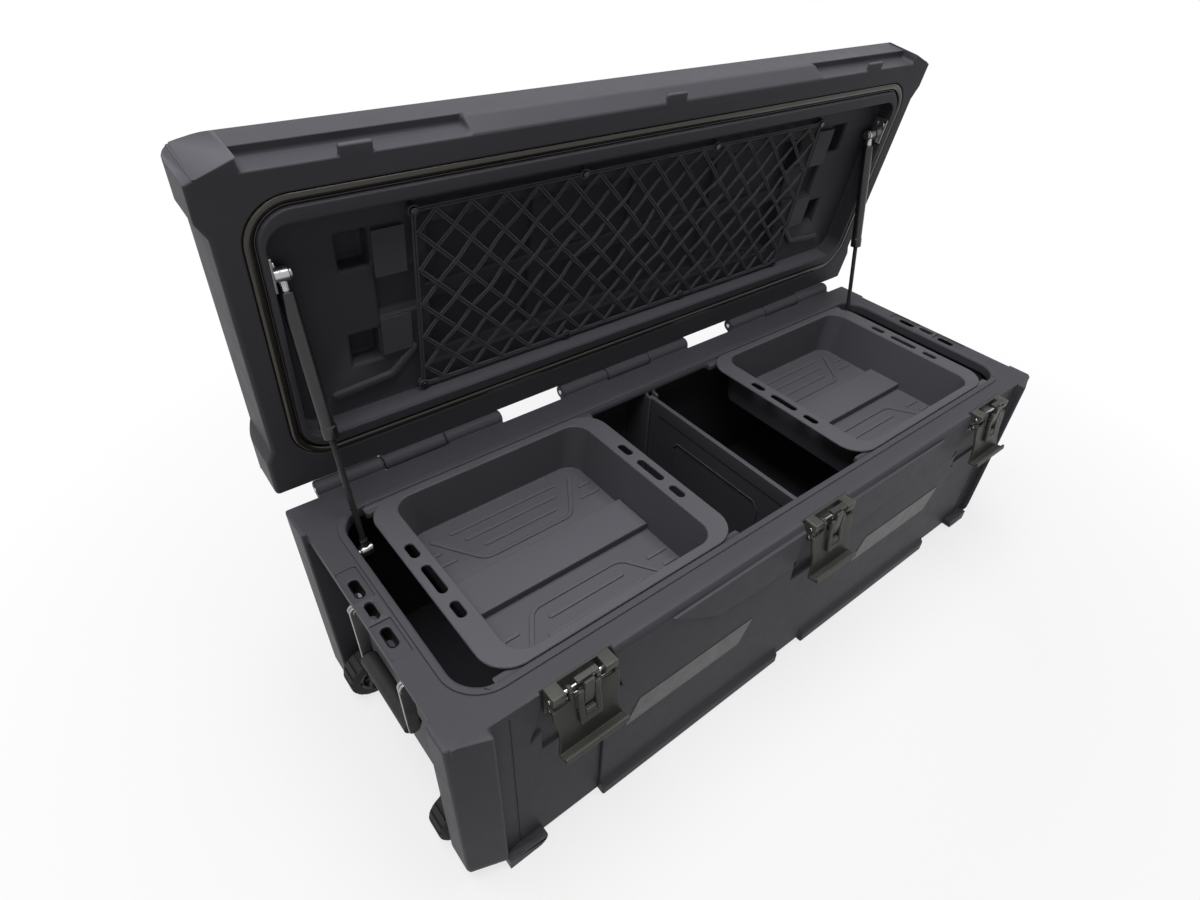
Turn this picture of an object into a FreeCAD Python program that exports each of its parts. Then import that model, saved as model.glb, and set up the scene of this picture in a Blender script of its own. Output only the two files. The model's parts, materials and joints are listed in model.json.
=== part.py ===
import FreeCAD, Part
import math
import os

import Sketcher

# A moulded cargo case with its lid held open on two gas struts, in millimetres.
# X runs along the length, the latches are on the -Y side, Z is up.
# The origin is on the ground below the middle of the base.

SIZES = {
    # base shell
    "case_length": 1200.0,
    "case_depth": 447.0,
    "base_height": 325.0,
    "wall": 6.0,
    "floor_height": 8.0,
    "rim_thickness": 16.0,
    "end_recess": 36.0,
    "flange_step": 7.0,
    "post_depth": 58.0,
    "post_width": 50.0,
    "post_chamfer": 18.0,
    "post_step": 14.0,
    "post_foot_radius": 38.0,
    "foot_length": 58.0,
    "foot_height": 20.0,
    "foot_end_radius": 16.0,
    "skid_width": 44.0,
    # opening and sealing ridge
    "rim_end_width": 48.0,
    "rim_side_width": 53.5,
    "opening_radius": 42.0,
    "ridge_width": 10.0,
    "ridge_height": 3.0,
    # front of the base
    "panel_inset": 203.0,
    "panel_proud": 5.0,
    "panel_bevel": 10.0,
    "ledge_proud": 7.0,
    "ledge_height": 22.0,
    "ledge_gap": 64.0,
    "groove_inset": 24.0,
    "groove_width": 2.4,
    "groove_depth": 1.2,
    "shield_top": 600.0,
    "shield_bottom": 424.0,
    "shield_drop": 69.0,
    "shield_sag": 13.0,
    "shield_proud": 4.0,
    "label_length": 236.0,
    "label_height": 44.0,
    "label_slant": 22.0,
    "label_drop": 166.0,
    "label_inset": 36.0,
    "label_thickness": 0.8,
    # tie-down slots in the rim at each end
    "slot_length": 30.0,
    "slot_width": 11.0,
    "slot_pitch": 44.0,
    "slot_inset": 21.0,
    "slot_pad_length": 58.0,
    "slot_pad_width": 26.0,
    "slot_pad_depth": 2.5,
    # hinge along the back edge
    "hinge_offset": 14.5,
    "knuckle_radius": 12.0,
    "knuckle_web": 34.0,
    "knuckle_gap": 0.5,
    "hinge_pin_radius": 4.0,
    "hinge_outer_start": 258.0,
    "hinge_inset": 47.0,
    "hinge_middle_end": 142.0,
    "running_gap": 0.05,
    # lid
    "lid_gap": 4.0,
    "lid_height": 80.0,
    "lid_open_angle": 80.8,
    "lid_rim": 12.0,
    "lid_side_step": 9.0,
    "lid_edge_radius": 26.0,
    "brow_proud": 12.0,
    "brow_start": 28.0,
    "brow_rise": 22.0,
    "notch_start": 305.0,
    "lid_panel_inset": 120.0,
    "lid_panel_side_inset": 58.5,
    "lid_panel_rise": 4.0,
    "strike_width": 36.0,
    "strike_height": 5.0,
    "gasket_width": 14.0,
    "gasket_depth": 6.0,
    "gasket_proud": 0.7,
    # inner skin of the lid
    "liner_lip": 3.0,
    "liner_side_lip": 14.0,
    "liner_radius": 28.0,
    "liner_wall": 4.0,
    "liner_depth": 30.0,
    "pocket_depth": 24.0,
    "pocket_columns": 4.0,
    "pocket_rib": 26.0,
    "pocket_rib_height": 9.0,
    "pocket_margin": 25.0,
    "pocket_side_margin": 31.0,
    "end_pocket_length": 38.0,
    "end_pocket_width": 46.0,
    "end_pocket_inset": 100.0,
    "end_pocket_spread": 140.0,
    "end_pocket_shift": -15.0,
    "end_notch_length": 70.0,
    "end_notch_width": 60.0,
    "end_notch_depth": 12.0,
    # cargo net
    "net_inset": 225.0,
    "net_side_inset": 34.0,
    "net_shift": 8.0,
    "net_height": 20.0,
    "net_thickness": 3.0,
    "net_border": 8.0,
    "net_cord": 3.4,
    "net_columns": 15.0,
    "net_rows": 5.0,
    "net_screw_radius": 2.0,
    "net_screw_head": 4.5,
    "net_boss_radius": 7.0,
    # gas struts
    "strut_inset": 13.0,
    "strut_lid_in": 65.0,
    "strut_lid_rise": 22.0,
    "strut_base_in": 24.0,
    "strut_base_drop": 52.0,
    "strut_radius": 9.0,
    "strut_bore": 7.5,
    "strut_collar_radius": 10.0,
    "strut_collar_length": 16.0,
    "strut_length": 185.0,
    "rod_radius": 4.0,
    "gland_length": 14.0,
    "piston_length": 10.0,
    "eye_radius": 8.5,
    "eye_width": 16.0,
    "eye_neck": 18.0,
    "eye_neck_radius": 5.5,
    "stud_radius": 4.0,
    "bracket_thickness": 3.0,
    "bracket_length": 58.0,
    "lid_bracket_length": 42.0,
    "bracket_width": 26.0,
    "bracket_boss_radius": 11.0,
    "open_pivot_gap": 0.3,
    "screw_radius": 2.5,
    "screw_head_radius": 4.5,
    "screw_head_height": 2.5,
    # lift-out trays and divider
    "tray_gap": 264.0,
    "tray_end_gap": 36.0,
    "tray_end_flange": 34.0,
    "tray_side_flange": 14.0,
    "tray_flange_thickness": 5.0,
    "tray_clearance": 2.0,
    "tray_seat": 12.0,
    "tray_seat_drop": 3.0,
    "tray_depth": 80.0,
    "tray_wall": 3.5,
    "tray_draft": 11.0,
    "tray_radius": 28.0,
    "tray_step_width": 66.0,
    "tray_step_height": 13.0,
    "tray_slot_width": 12.0,
    "tray_slot_short": 28.0,
    "tray_slot_long": 54.0,
    "tray_slot_pitch": 58.0,
    "divider_thickness": 8.0,
    "divider_clearance": 0.5,
    "divider_drop": 20.0,
    "divider_panel_border": 26.0,
    "divider_panel_depth": 1.5,
    "guide_grip": 12.0,
    # draw latches
    "latch_inset": 163.0,
    "latch_width": 92.0,
    "latch_pocket_depth": 4.0,
    "latch_pocket_height": 112.0,
    "latch_pocket_gill": 16.0,
    "latch_boss": 12.0,
    "latch_plate": 3.0,
    "latch_plate_height": 46.0,
    "latch_block_width": 19.0,
    "latch_block_rise": 2.0,
    "latch_block_radius": 8.0,
    "latch_pivot_out": 13.0,
    "latch_pivot_drop": 8.0,
    "latch_pin_radius": 2.5,
    "hook_pin_in": 2.0,
    "hook_pin_down": 14.9,
    "lever_out": 16.0,
    "lever_thickness": 4.0,
    "lever_length": 82.0,
    "lever_lip": 14.0,
    "lever_waist": 4.0,
    "lever_ear": 5.0,
    "lever_rest_angle": 10.0,
    "hook_width": 13.0,
    "hook_claw_width": 30.0,
    "hook_arm_out": 17.5,
    "hook_thickness": 3.5,
    "hook_claw_height": 4.5,
    "hook_bite": 2.3,
    "hook_clearance": 0.5,
    "catch_width": 30.0,
    "catch_thickness": 3.0,
    "catch_length": 30.0,
    # wheels at the left end
    "wheel_radius": 38.0,
    "wheel_width": 34.0,
    "wheel_track": 270.0,
    "wheel_inset": 30.0,
    "wheel_ground_gap": 4.0,
    "wheel_clearance": 5.0,
    "wheel_bevel": 5.0,
    "tread_blocks": 18.0,
    "tread_groove": 5.0,
    "tread_depth": 3.0,
    "hub_radius": 24.0,
    "hub_rim": 4.0,
    "hub_barrel": 11.0,
    "spoke_count": 6.0,
    "spoke_width": 8.0,
    "spoke_inset": 7.0,
    "axle_radius": 5.0,
    "axle_cheek": 8.0,
    "axle_cheek_radius": 14.0,
    # carry handles
    "handle_pivot_drop": 66.0,
    "handle_arm": 95.0,
    "handle_arm_width": 16.0,
    "handle_arm_thickness": 4.0,
    "handle_out": 19.0,
    "handle_pin_radius": 4.0,
    "grip_length": 128.0,
    "grip_radius": 12.0,
    "grip_rod_radius": 5.0,
    "handle_bracket_height": 44.0,
    "handle_bracket_width": 30.0,
    "handle_side_gap": 1.0,
}

SIDES = (-1, 1)
AXES = {
    "X": FreeCAD.Vector(1, 0, 0),
    "Y": FreeCAD.Vector(0, 1, 0),
    "Z": FreeCAD.Vector(0, 0, 1),
}
SKETCH_TURNS = {
    "X": FreeCAD.Rotation(FreeCAD.Vector(1, 1, 1), 120),
    "Y": FreeCAD.Rotation(FreeCAD.Vector(1, 0, 0), 90),
    "Z": FreeCAD.Rotation(),
}
ROD_TURNS = {
    "X": FreeCAD.Rotation(FreeCAD.Vector(0, 1, 0), 90),
    "Y": FreeCAD.Rotation(FreeCAD.Vector(1, 0, 0), -90),
    "Z": FreeCAD.Rotation(),
}


class Size:
    """A cell of the sheet or a sum of cells: its number, and the expression that binds it."""

    def __init__(self, value, text):
        self.value = value
        self.text = text

    def __add__(self, other):
        return Size(self.value + number(other), f"({self.text} + {text(other)})")

    def __radd__(self, other):
        return self + other

    def __sub__(self, other):
        return Size(self.value - number(other), f"({self.text} - {text(other)})")

    def __rsub__(self, other):
        return -self + other

    def __mul__(self, factor):
        return Size(self.value * number(factor), f"({self.text} * {text(factor)})")

    def __rmul__(self, factor):
        return self * factor

    def __truediv__(self, factor):
        return Size(self.value / number(factor), f"({self.text} / {text(factor)})")

    def __neg__(self):
        return Size(-self.value, f"(0 - {self.text})")


def number(size):
    return size.value if isinstance(size, Size) else float(size)


def text(size):
    return size.text if isinstance(size, Size) else repr(float(size))


class Cells:
    """The sheet's cells by name."""

    def __init__(self, sheet, values):
        for row, (alias, value) in enumerate(values.items(), 1):
            sheet.set(f"A{row}", alias)
            sheet.set(f"B{row}", str(value))
            sheet.setAlias(f"B{row}", alias)
            setattr(self, alias, Size(value, f"sizes.{alias}"))


document = FreeCAD.newDocument("cargo_case")
sheet = document.addObject("Spreadsheet::Sheet", "sizes")
s = Cells(sheet, SIZES)
document.recompute()
nodes = {}


# Building blocks

def block(x, y, z):
    box = document.addObject("Part::Box", "block")
    for side, axis, (low, high) in zip(("Length", "Width", "Height"), "xyz", (x, y, z)):
        box.setExpression(side, text(high - low))
        box.setExpression(f"Placement.Base.{axis}", text(low))
    return box


def rod(axis, centre, span, radius):
    """A cylinder along an axis; centre gives the other two coordinates in X, Y, Z order."""
    cylinder = document.addObject("Part::Cylinder", "rod")
    cylinder.Placement = FreeCAD.Placement(FreeCAD.Vector(), ROD_TURNS[axis])
    cylinder.setExpression("Radius", text(radius))
    cylinder.setExpression("Height", text(span[1] - span[0]))
    others = [letter for letter in "XYZ" if letter != axis]
    for letter, place in zip(others + [axis], list(centre) + [span[0]]):
        cylinder.setExpression(f"Placement.Base.{letter.lower()}", text(place))
    return cylinder


def prism(axis, corners, span):
    """A closed outline, given in the two other axes, drawn out along an axis."""
    sketch = document.addObject("Sketcher::SketchObject", "outline")
    sketch.Placement = FreeCAD.Placement(FreeCAD.Vector(), SKETCH_TURNS[axis])
    points = [FreeCAD.Vector(number(u), number(v), 0) for u, v in corners]
    count = len(points)
    for index, point in enumerate(points):
        sketch.addGeometry(Part.LineSegment(point, points[(index + 1) % count]), False)
    for index in range(count):
        sketch.addConstraint(Sketcher.Constraint("Coincident", index, 2, (index + 1) % count, 1))
    for index, corner in enumerate(corners):
        for kind, size in zip(("DistanceX", "DistanceY"), corner):
            place = sketch.addConstraint(Sketcher.Constraint(kind, -1, 1, index, 1, number(size)))
            sketch.setExpression(f"Constraints[{place}]", text(size))
    sketch.setExpression(f"Placement.Base.{axis.lower()}", text(span[0]))
    drawn = document.addObject("Part::Extrusion", "prism")
    drawn.Base = sketch
    drawn.DirMode = "Custom"
    drawn.Dir = AXES[axis]
    drawn.Solid = True
    drawn.setExpression("LengthFwd", text(span[1] - span[0]))
    return drawn


def fuse(*pieces):
    if len(pieces) == 1:
        return pieces[0]
    union = document.addObject("Part::MultiFuse", "union")
    union.Shapes = list(pieces)
    union.Refine = True
    return union


def cut(body, *tools):
    difference = document.addObject("Part::Cut", "difference")
    difference.Base = body
    difference.Tool = fuse(*tools)
    difference.Refine = True
    return difference


def common(body, limit):
    shared = document.addObject("Part::MultiCommon", "shared")
    shared.Shapes = [body, limit]
    shared.Refine = True
    return shared


def round_edges(body, radius, wanted):
    """Rounds the edges of a body that the test wants."""
    document.recompute()
    rounding = document.addObject("Part::Fillet", "rounding")
    rounding.Base = body
    edges = enumerate(body.Shape.Edges, 1)
    rounding.Edges = [(i, number(radius), number(radius)) for i, edge in edges if wanted(edge)]
    return rounding


def runs_along(axis):
    direction = AXES[axis]

    def test(edge):
        if not isinstance(edge.Curve, Part.Line):
            return False
        return abs(edge.Curve.Direction.dot(direction)) > 0.999

    return test


def rounded(x, y, z, radius, axis="Z"):
    return round_edges(block(x, y, z), radius, runs_along(axis))


def soft_topped(x, y, z, radius):
    """A block whose four top edges are rounded."""
    top = number(z[1])
    return round_edges(block(x, y, z), radius, lambda edge: edge.BoundBox.ZMin > top - 0.01)


def slot(x, y, z, length, width, along):
    """A slot with round ends, centred on x and y."""
    reach = (length - width) / 2
    pieces = []
    for side in SIDES:
        shift = side * reach
        place = (x + shift, y) if along == "X" else (x, y + shift)
        pieces.append(rod("Z", place, z, width / 2))
    if along == "X":
        pieces.append(block((x - reach, x + reach), (y - width / 2, y + width / 2), z))
    else:
        pieces.append(block((x - width / 2, x + width / 2), (y - reach, y + reach), z))
    return fuse(*pieces)


def span(side, low, high):
    """A stretch along an axis on the plus side, or its mirror image."""
    return (low, high) if side > 0 else (-high, -low)


def about(middle, width):
    return (middle - width / 2, middle + width / 2)


def node(label, body, placement=None):
    body.Label = label
    if placement:
        body.Placement = placement
    nodes[label] = body


def group(label, pieces, placement=None):
    """Several separate solids of one kind under one label."""
    gathered = document.addObject("Part::Compound", "group")
    gathered.Links = list(pieces)
    node(label, gathered, placement)


# Places that several pieces share

half = s.case_length / 2
deep = s.case_depth / 2
front = -deep + s.post_step
back = deep
rim = s.base_height + 0
end_wall = half - s.end_recess
flange_end = half - s.flange_step
panel_end = half - s.panel_inset
post_edge = deep - s.post_depth
floor_top = s.floor_height + s.wall
rim_under = rim - s.rim_thickness
open_x = half - s.rim_end_width
open_y = deep - s.rim_side_width
hinge_y = back + s.hinge_offset
hinge_z = rim + s.lid_gap / 2
lid_low = rim + s.lid_gap
lid_top = lid_low + s.lid_height
lid_side = half - s.lid_side_step
gasket_x = open_x + s.ridge_width / 2
gasket_y = open_y + s.ridge_width / 2
liner_x = gasket_x - s.gasket_width / 2 - s.liner_lip - s.liner_wall
liner_y = gasket_y - s.gasket_width / 2 - s.liner_side_lip - s.liner_wall
liner_panel = lid_low + s.liner_depth
net_z = lid_low + s.net_height
net_length = 2 * (half - s.net_inset)
net_width = 2 * (open_y - s.net_side_inset)
pocket_length = net_length - 2 * s.pocket_margin
pocket_width = net_width - 2 * s.pocket_side_margin
strut_x = liner_x - s.strut_inset
strut_base_y = open_y - s.strut_base_in
strut_lid_y = s.strut_lid_in - liner_y
tray_near = s.tray_gap / 2
tray_far = open_x - s.tray_end_gap
tray_length = tray_far - tray_near
tray_seat_z = rim - s.tray_seat_drop
latch_places = (s.latch_inset - half, 0 * half, half - s.latch_inset)
latch_names = ("left", "middle", "right")
latch_y = front + s.latch_pocket_depth
pivot_y = latch_y - s.latch_pivot_out
pivot_z = rim - s.latch_pivot_drop
hook_pin_y = pivot_y + s.hook_pin_in
hook_pin_z = pivot_z - s.hook_pin_down
handle_x = end_wall + s.handle_out
handle_z = rim - s.handle_pivot_drop
wheel_x = half - s.wheel_inset
wheel_z = s.wheel_radius + s.wheel_ground_gap
wheel_room = s.wheel_width / 2 + s.wheel_clearance

hinge_end = half - s.hinge_inset
knuckle_groups = (
    (-hinge_end, -s.hinge_outer_start),
    (-s.hinge_middle_end, s.hinge_middle_end),
    (s.hinge_outer_start, hinge_end),
)

LID_OPEN = FreeCAD.Placement(
    FreeCAD.Vector(),
    FreeCAD.Rotation(AXES["X"], -number(s.lid_open_angle)),
    FreeCAD.Vector(0, number(hinge_y), number(hinge_z)),
)


# Base

def knuckles(thirds, web_corners):
    """The barrels of one half of the hinge, with the webs that carry them."""
    pieces = []
    for low, high in knuckle_groups:
        third = (high - low) / 3
        for index in thirds:
            stretch = (low + third * index + s.knuckle_gap, low + third * (index + 1) - s.knuckle_gap)
            pieces.append(rod("X", (hinge_y, hinge_z), stretch, s.knuckle_radius))
            pieces.append(prism("X", web_corners, stretch))
    return pieces


def hinge_bores():
    bore = s.hinge_pin_radius + s.running_gap
    return [rod("X", (hinge_y, hinge_z), group_span, bore) for group_span in knuckle_groups]


def corner_post(side):
    """A front corner post of the base, with a slanted outer corner and a rounded foot."""
    inner = half - s.post_width
    post = prism("Z", [
        (side * half, -post_edge),
        (side * half, -deep + s.post_chamfer),
        (side * inner, -deep),
        (side * inner, -post_edge),
    ], (0 * rim, rim))

    def outer_foot(edge):
        middle = edge.CenterOfMass
        if middle.z > 0.01:
            return False
        return abs(middle.x) > number(inner) + 0.1 and middle.y < -number(post_edge) - 0.1

    return round_edges(post, s.post_foot_radius, outer_foot)


def lid_posts(side, z):
    """The lid's front and back corner posts on one side, with slopes down to its stepped-in side."""
    inner = half - s.post_width
    slope = s.lid_side_step * 2
    return [
        prism("Z", [
            (side * half, -post_edge),
            (side * half, -deep + s.post_chamfer),
            (side * inner, -deep),
            (side * inner, slope - post_edge),
            (side * lid_side, slope - post_edge),
        ], z),
        prism("Z", [
            (side * half, back),
            (side * half, post_edge),
            (side * lid_side, post_edge - slope),
            (side * inner, post_edge - slope),
            (side * inner, back),
        ], z),
    ]


def foot(side):
    """A low block beside a front post, rounded up at its inner end."""
    x = span(side, half - s.post_width - s.foot_length, half - s.post_width)
    body = block(x, (-deep, front + s.skid_width), (0, s.foot_height))
    inner = number(half - s.post_width - s.foot_length)

    def inner_end(edge):
        middle = edge.CenterOfMass
        return middle.z < 0.01 and abs(abs(middle.x) - inner) < 0.01

    return round_edges(body, s.foot_end_radius, inner_end)


def latch_pocket(middle):
    """The recess that a latch sits in, with a pointed gill at each side."""
    reach = s.latch_width / 2 + 3
    gill = reach + s.latch_pocket_gill
    low = rim - s.latch_pocket_height
    over = rim + s.ridge_height
    corners = [
        (middle - reach, over),
        (middle - reach, rim - s.latch_pocket_height / 4),
        (middle - gill, low + s.latch_pocket_height / 4),
        (middle - reach, low + s.latch_pocket_height / 3),
        (middle - reach, low),
        (middle + reach, low),
        (middle + reach, low + s.latch_pocket_height / 3),
        (middle + gill, low + s.latch_pocket_height / 4),
        (middle + reach, rim - s.latch_pocket_height / 4),
        (middle + reach, over),
    ]
    return prism("Y", corners, (-deep, latch_y))


def front_relief():
    """The raised front panel, the shield round the middle latch and the skids along the ground."""
    panel_y = front - s.panel_proud
    panel = prism("X", [
        (front + s.wall, rim),
        (front, rim),
        (panel_y, rim - s.panel_bevel),
        (panel_y, s.floor_height),
        (front + s.wall, s.floor_height),
    ], (-panel_end, panel_end))
    shield = prism("Y", [
        (-s.shield_top / 2, rim - s.panel_bevel),
        (-s.shield_bottom / 2, rim - s.shield_drop),
        (0 * half, rim - s.shield_drop - s.shield_sag),
        (s.shield_bottom / 2, rim - s.shield_drop),
        (s.shield_top / 2, rim - s.panel_bevel),
    ], (panel_y - s.shield_proud, front))
    pieces = [panel, shield]
    for side in SIDES:
        stretch = span(side, s.ledge_gap / 2, panel_end)
        pieces.append(prism("X", [
            (front, s.ledge_height + s.ledge_proud + s.panel_proud),
            (panel_y - s.ledge_proud, s.ledge_height),
            (panel_y - s.ledge_proud, 0),
            (front + s.skid_width, 0),
            (front + s.skid_width, floor_top),
            (front, floor_top),
        ], stretch))
        pieces.append(block(stretch, (back - s.skid_width, back), (0, floor_top)))
    pieces.append(block(about(0 * half, s.shield_bottom), about(0 * half, s.skid_width), (0, floor_top)))
    return pieces


def divider_guides():
    """Fins on both long walls that hold the divider upright."""
    inner = open_y - s.guide_grip
    slit = s.divider_thickness / 2 + s.divider_clearance
    pieces = []
    for side in SIDES:
        stretch = span(side, slit, slit + s.wall)
        for wall_face in (front, -back):
            y = (wall_face, -inner) if wall_face is front else (inner, back)
            pieces.append(block(stretch, y, (floor_top, rim_under)))
    return pieces


def tray_seats():
    """Ledges inside the long sides of the opening that carry the trays' rims."""
    pieces = []
    for side in SIDES:
        for edge in SIDES:
            y = span(edge, open_y - s.tray_seat, open_y + s.ridge_width)
            pieces.append(block(span(side, tray_near, tray_far), y, (rim_under, tray_seat_z)))
    return pieces


def wheel_wells(extra):
    """The spaces that the two wheels turn in, made larger on every closed side by extra."""
    reach = wheel_x - s.wheel_radius - s.wheel_clearance - extra
    top = wheel_z + s.wheel_radius + s.wheel_clearance + extra
    return [
        block((-half, -reach), about(side * s.wheel_track / 2, 2 * (wheel_room + extra)), (0, top))
        for side in SIDES
    ]


def axle_cheeks():
    """Ears on the end wall at both sides of each wheel, and the bores for the axles."""
    ears, bores = [], []
    for side in SIDES:
        y = side * s.wheel_track / 2
        for edge in SIDES:
            stretch = tuple(y + place for place in span(edge, wheel_room, wheel_room + s.axle_cheek))
            cheek_z = about(wheel_z, 2 * s.axle_cheek_radius)
            ears.append(block((-wheel_x, -end_wall + s.wall), stretch, cheek_z))
            ears.append(rod("Y", (-wheel_x, wheel_z), stretch, s.axle_cheek_radius))
        reach = about(y, 2 * (wheel_room + s.axle_cheek))
        bores.append(rod("Y", (-wheel_x, wheel_z), reach, s.axle_radius + s.running_gap))
    return ears, bores


def rim_slots():
    pieces = []
    for side in SIDES:
        x = side * (half - s.slot_inset)
        for index in (-1, 0, 1):
            y = index * s.slot_pitch
            pieces.append(slot(x, y, (rim_under, rim), s.slot_length, s.slot_width, "Y"))
            if index:
                pad_z = (rim - s.slot_pad_depth, rim)
                pad_y = about(y + index * 5, s.slot_pad_length)
                pieces.append(block(about(x, s.slot_pad_width), pad_y, pad_z))
    return pieces


def base_tub():
    outer = [
        block((-end_wall, end_wall), (front, back), (s.floor_height, rim)),
        block((-flange_end, flange_end), (front, back), (rim_under, rim)),
        rounded(
            (-open_x - s.ridge_width, open_x + s.ridge_width),
            (-open_y - s.ridge_width, open_y + s.ridge_width),
            (rim_under, rim + s.ridge_height),
            s.opening_radius + s.ridge_width,
        ),
    ]
    inner_x = (-end_wall + s.wall, end_wall - s.wall)
    hollows = [block(inner_x, (front + s.wall, back - s.wall), (floor_top, rim_under))]
    for side in SIDES:
        outer.append(corner_post(side))
        outer.append(block(span(side, half - s.post_width, half), (post_edge, back), (0, rim)))
        outer.append(foot(side))
        hollow_x = span(side, end_wall - 2 * s.wall, half - s.wall)
        hollows.append(block(hollow_x, (front + s.wall, -post_edge - s.wall), (floor_top, rim_under)))
        hollows.append(block(hollow_x, (post_edge + s.wall, back - s.wall), (floor_top, rim_under)))
    outer += front_relief()
    cavity = cut(fuse(*hollows), *wheel_wells(s.wall))
    opening_z = (rim_under, rim + s.ridge_height)
    opening = rounded((-open_x, open_x), (-open_y, open_y), opening_z, s.opening_radius)
    shell = cut(fuse(*outer), cavity, opening, *wheel_wells(0 * s.wall))
    base_web = [
        (back - s.wall, rim - s.knuckle_web),
        (back, rim - s.knuckle_web),
        (hinge_y + s.knuckle_radius / 2, hinge_z - s.knuckle_radius / 2),
        (hinge_y, hinge_z),
        (back, rim),
        (back - s.wall, rim),
    ]
    backing = [
        block(
            about(middle, s.latch_width + 4 * s.wall),
            (front, front + s.latch_boss),
            (rim - s.latch_pocket_height - 2 * s.wall, rim),
        )
        for middle in latch_places
    ]
    grooves = [
        block(
            about(side * (half - s.post_width - s.groove_inset), s.groove_width),
            (front, front + s.groove_depth),
            (s.foot_height, rim - s.panel_bevel),
        )
        for side in SIDES
    ]
    pockets = [latch_pocket(middle) for middle in latch_places]
    ears, axle_bores = axle_cheeks()
    added = fuse(shell, *knuckles((0, 2), base_web), *divider_guides(), *tray_seats(), *backing, *ears)
    node("base_tub", cut(added, *pockets, *grooves, *rim_slots(), *hinge_bores(), *axle_bores))


def label_plates():
    """Two thin slanted plates on the front panel, left bare."""
    face = front - s.panel_proud
    low = rim - s.label_drop - s.label_height / 2
    high = low + s.label_height
    plates = []
    for side in SIDES:
        outer = panel_end - s.label_inset
        inner = outer - s.label_length
        near, far = span(side, inner, outer)
        corners = [(near, low), (far - s.label_slant, low), (far, high), (near + s.label_slant, high)]
        plates.append(prism("Y", corners, (face - s.label_thickness, face)))
    group("label_plates", plates)


def hinge_pins():
    pins = [rod("X", (hinge_y, hinge_z), stretch, s.hinge_pin_radius) for stretch in knuckle_groups]
    group("hinge_pins", pins)


# Lid, drawn closed and turned open about the hinge

def lid_shell():
    lid_z = (lid_low, lid_top)
    body = block((-lid_side, lid_side), (front, back), lid_z)
    brow_x = (-half + s.post_width, half - s.post_width)
    brow = prism("X", [
        (front + s.wall, lid_low + s.brow_start),
        (front - s.brow_proud, lid_low + s.brow_start),
        (front - s.brow_proud, lid_top),
        (front + s.wall, lid_top),
    ], brow_x)
    bevel = prism("X", [
        (front + s.wall, lid_low),
        (front, lid_low),
        (front - s.brow_proud, lid_low + s.brow_rise),
        (front - s.brow_proud, lid_low + s.brow_start),
        (front + s.wall, lid_low + s.brow_start),
    ], (-s.notch_start, s.notch_start))
    outer = [body, brow, bevel]
    for side in SIDES:
        outer += lid_posts(side, lid_z)

    softened = common(fuse(*outer), soft_topped((-half, half), (-deep, back), lid_z, s.lid_edge_radius))
    crown = rounded(
        (s.lid_panel_inset - half, half - s.lid_panel_inset),
        (s.lid_panel_side_inset - deep, deep - s.lid_panel_side_inset),
        (lid_top - s.wall, lid_top + s.lid_panel_rise),
        s.opening_radius,
    )
    cavity = soft_topped(
        (-lid_side + s.wall, lid_side - s.wall),
        (front + s.wall, back - s.wall),
        (lid_low + s.lid_rim, lid_top - s.wall),
        s.lid_edge_radius - s.wall,
    )
    mouth_x = liner_x + s.liner_wall
    mouth_y = liner_y + s.liner_wall
    mouth = rounded(
        (-mouth_x, mouth_x),
        (-mouth_y, mouth_y),
        (lid_low, lid_low + s.lid_rim),
        s.liner_radius + s.liner_wall,
    )
    strikes = [
        block(
            about(middle, s.strike_width),
            (latch_y - s.latch_pivot_out - s.hook_pin_in, front + s.wall),
            (lid_low, lid_low + s.strike_height),
        )
        for middle in latch_places
    ]
    lid_web = [
        (back - s.wall, lid_low),
        (back, lid_low),
        (hinge_y, hinge_z),
        (hinge_y + s.knuckle_radius / 2, hinge_z + s.knuckle_radius / 2),
        (back, lid_low + s.knuckle_web),
        (back - s.wall, lid_low + s.knuckle_web),
    ]
    shell = cut(fuse(softened, crown), cavity, mouth)
    added = fuse(shell, *strikes, *knuckles((1,), lid_web))
    node("lid_shell", cut(added, gasket_ring(lid_low, lid_low + s.gasket_depth), *hinge_bores()), LID_OPEN)


def gasket_ring(low, high):
    width = s.gasket_width / 2
    outer = rounded(
        (-gasket_x - width, gasket_x + width),
        (-gasket_y - width, gasket_y + width),
        (low, high),
        s.opening_radius + s.ridge_width / 2 + width,
    )
    inner = rounded(
        (-gasket_x + width, gasket_x - width),
        (-gasket_y + width, gasket_y - width),
        (low, high),
        s.opening_radius + s.ridge_width / 2 - width,
    )
    return cut(outer, inner)


def lid_gasket():
    node("lid_gasket", gasket_ring(lid_low - s.gasket_proud, lid_low + s.gasket_depth), LID_OPEN)


def liner_pockets(extra):
    """The recess behind the net, its end notches and the end pockets, made larger on every side by extra."""
    depth = (liner_panel - s.liner_wall, liner_panel + s.pocket_depth + extra)
    notch_depth = (liner_panel - s.liner_wall, liner_panel + s.end_notch_depth + extra)
    pieces = [block(
        about(0 * extra, pocket_length + 2 * extra),
        about(s.net_shift, pocket_width + 2 * extra),
        depth,
    )]
    for end in SIDES:
        x = end * (liner_x - s.end_pocket_inset)
        for side in SIDES:
            y = s.end_pocket_shift + side * s.end_pocket_spread / 2
            length = s.end_pocket_length + 2 * extra
            pieces.append(block(about(x, length), about(y, s.end_pocket_width + 2 * extra), depth))
        notch_x = span(end, pocket_length / 2 - s.liner_wall, pocket_length / 2 + s.end_notch_length + extra)
        notch_y = about(s.end_pocket_shift, s.end_notch_width + 2 * extra)
        pieces.append(block(notch_x, notch_y, notch_depth))
    return pieces


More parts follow.
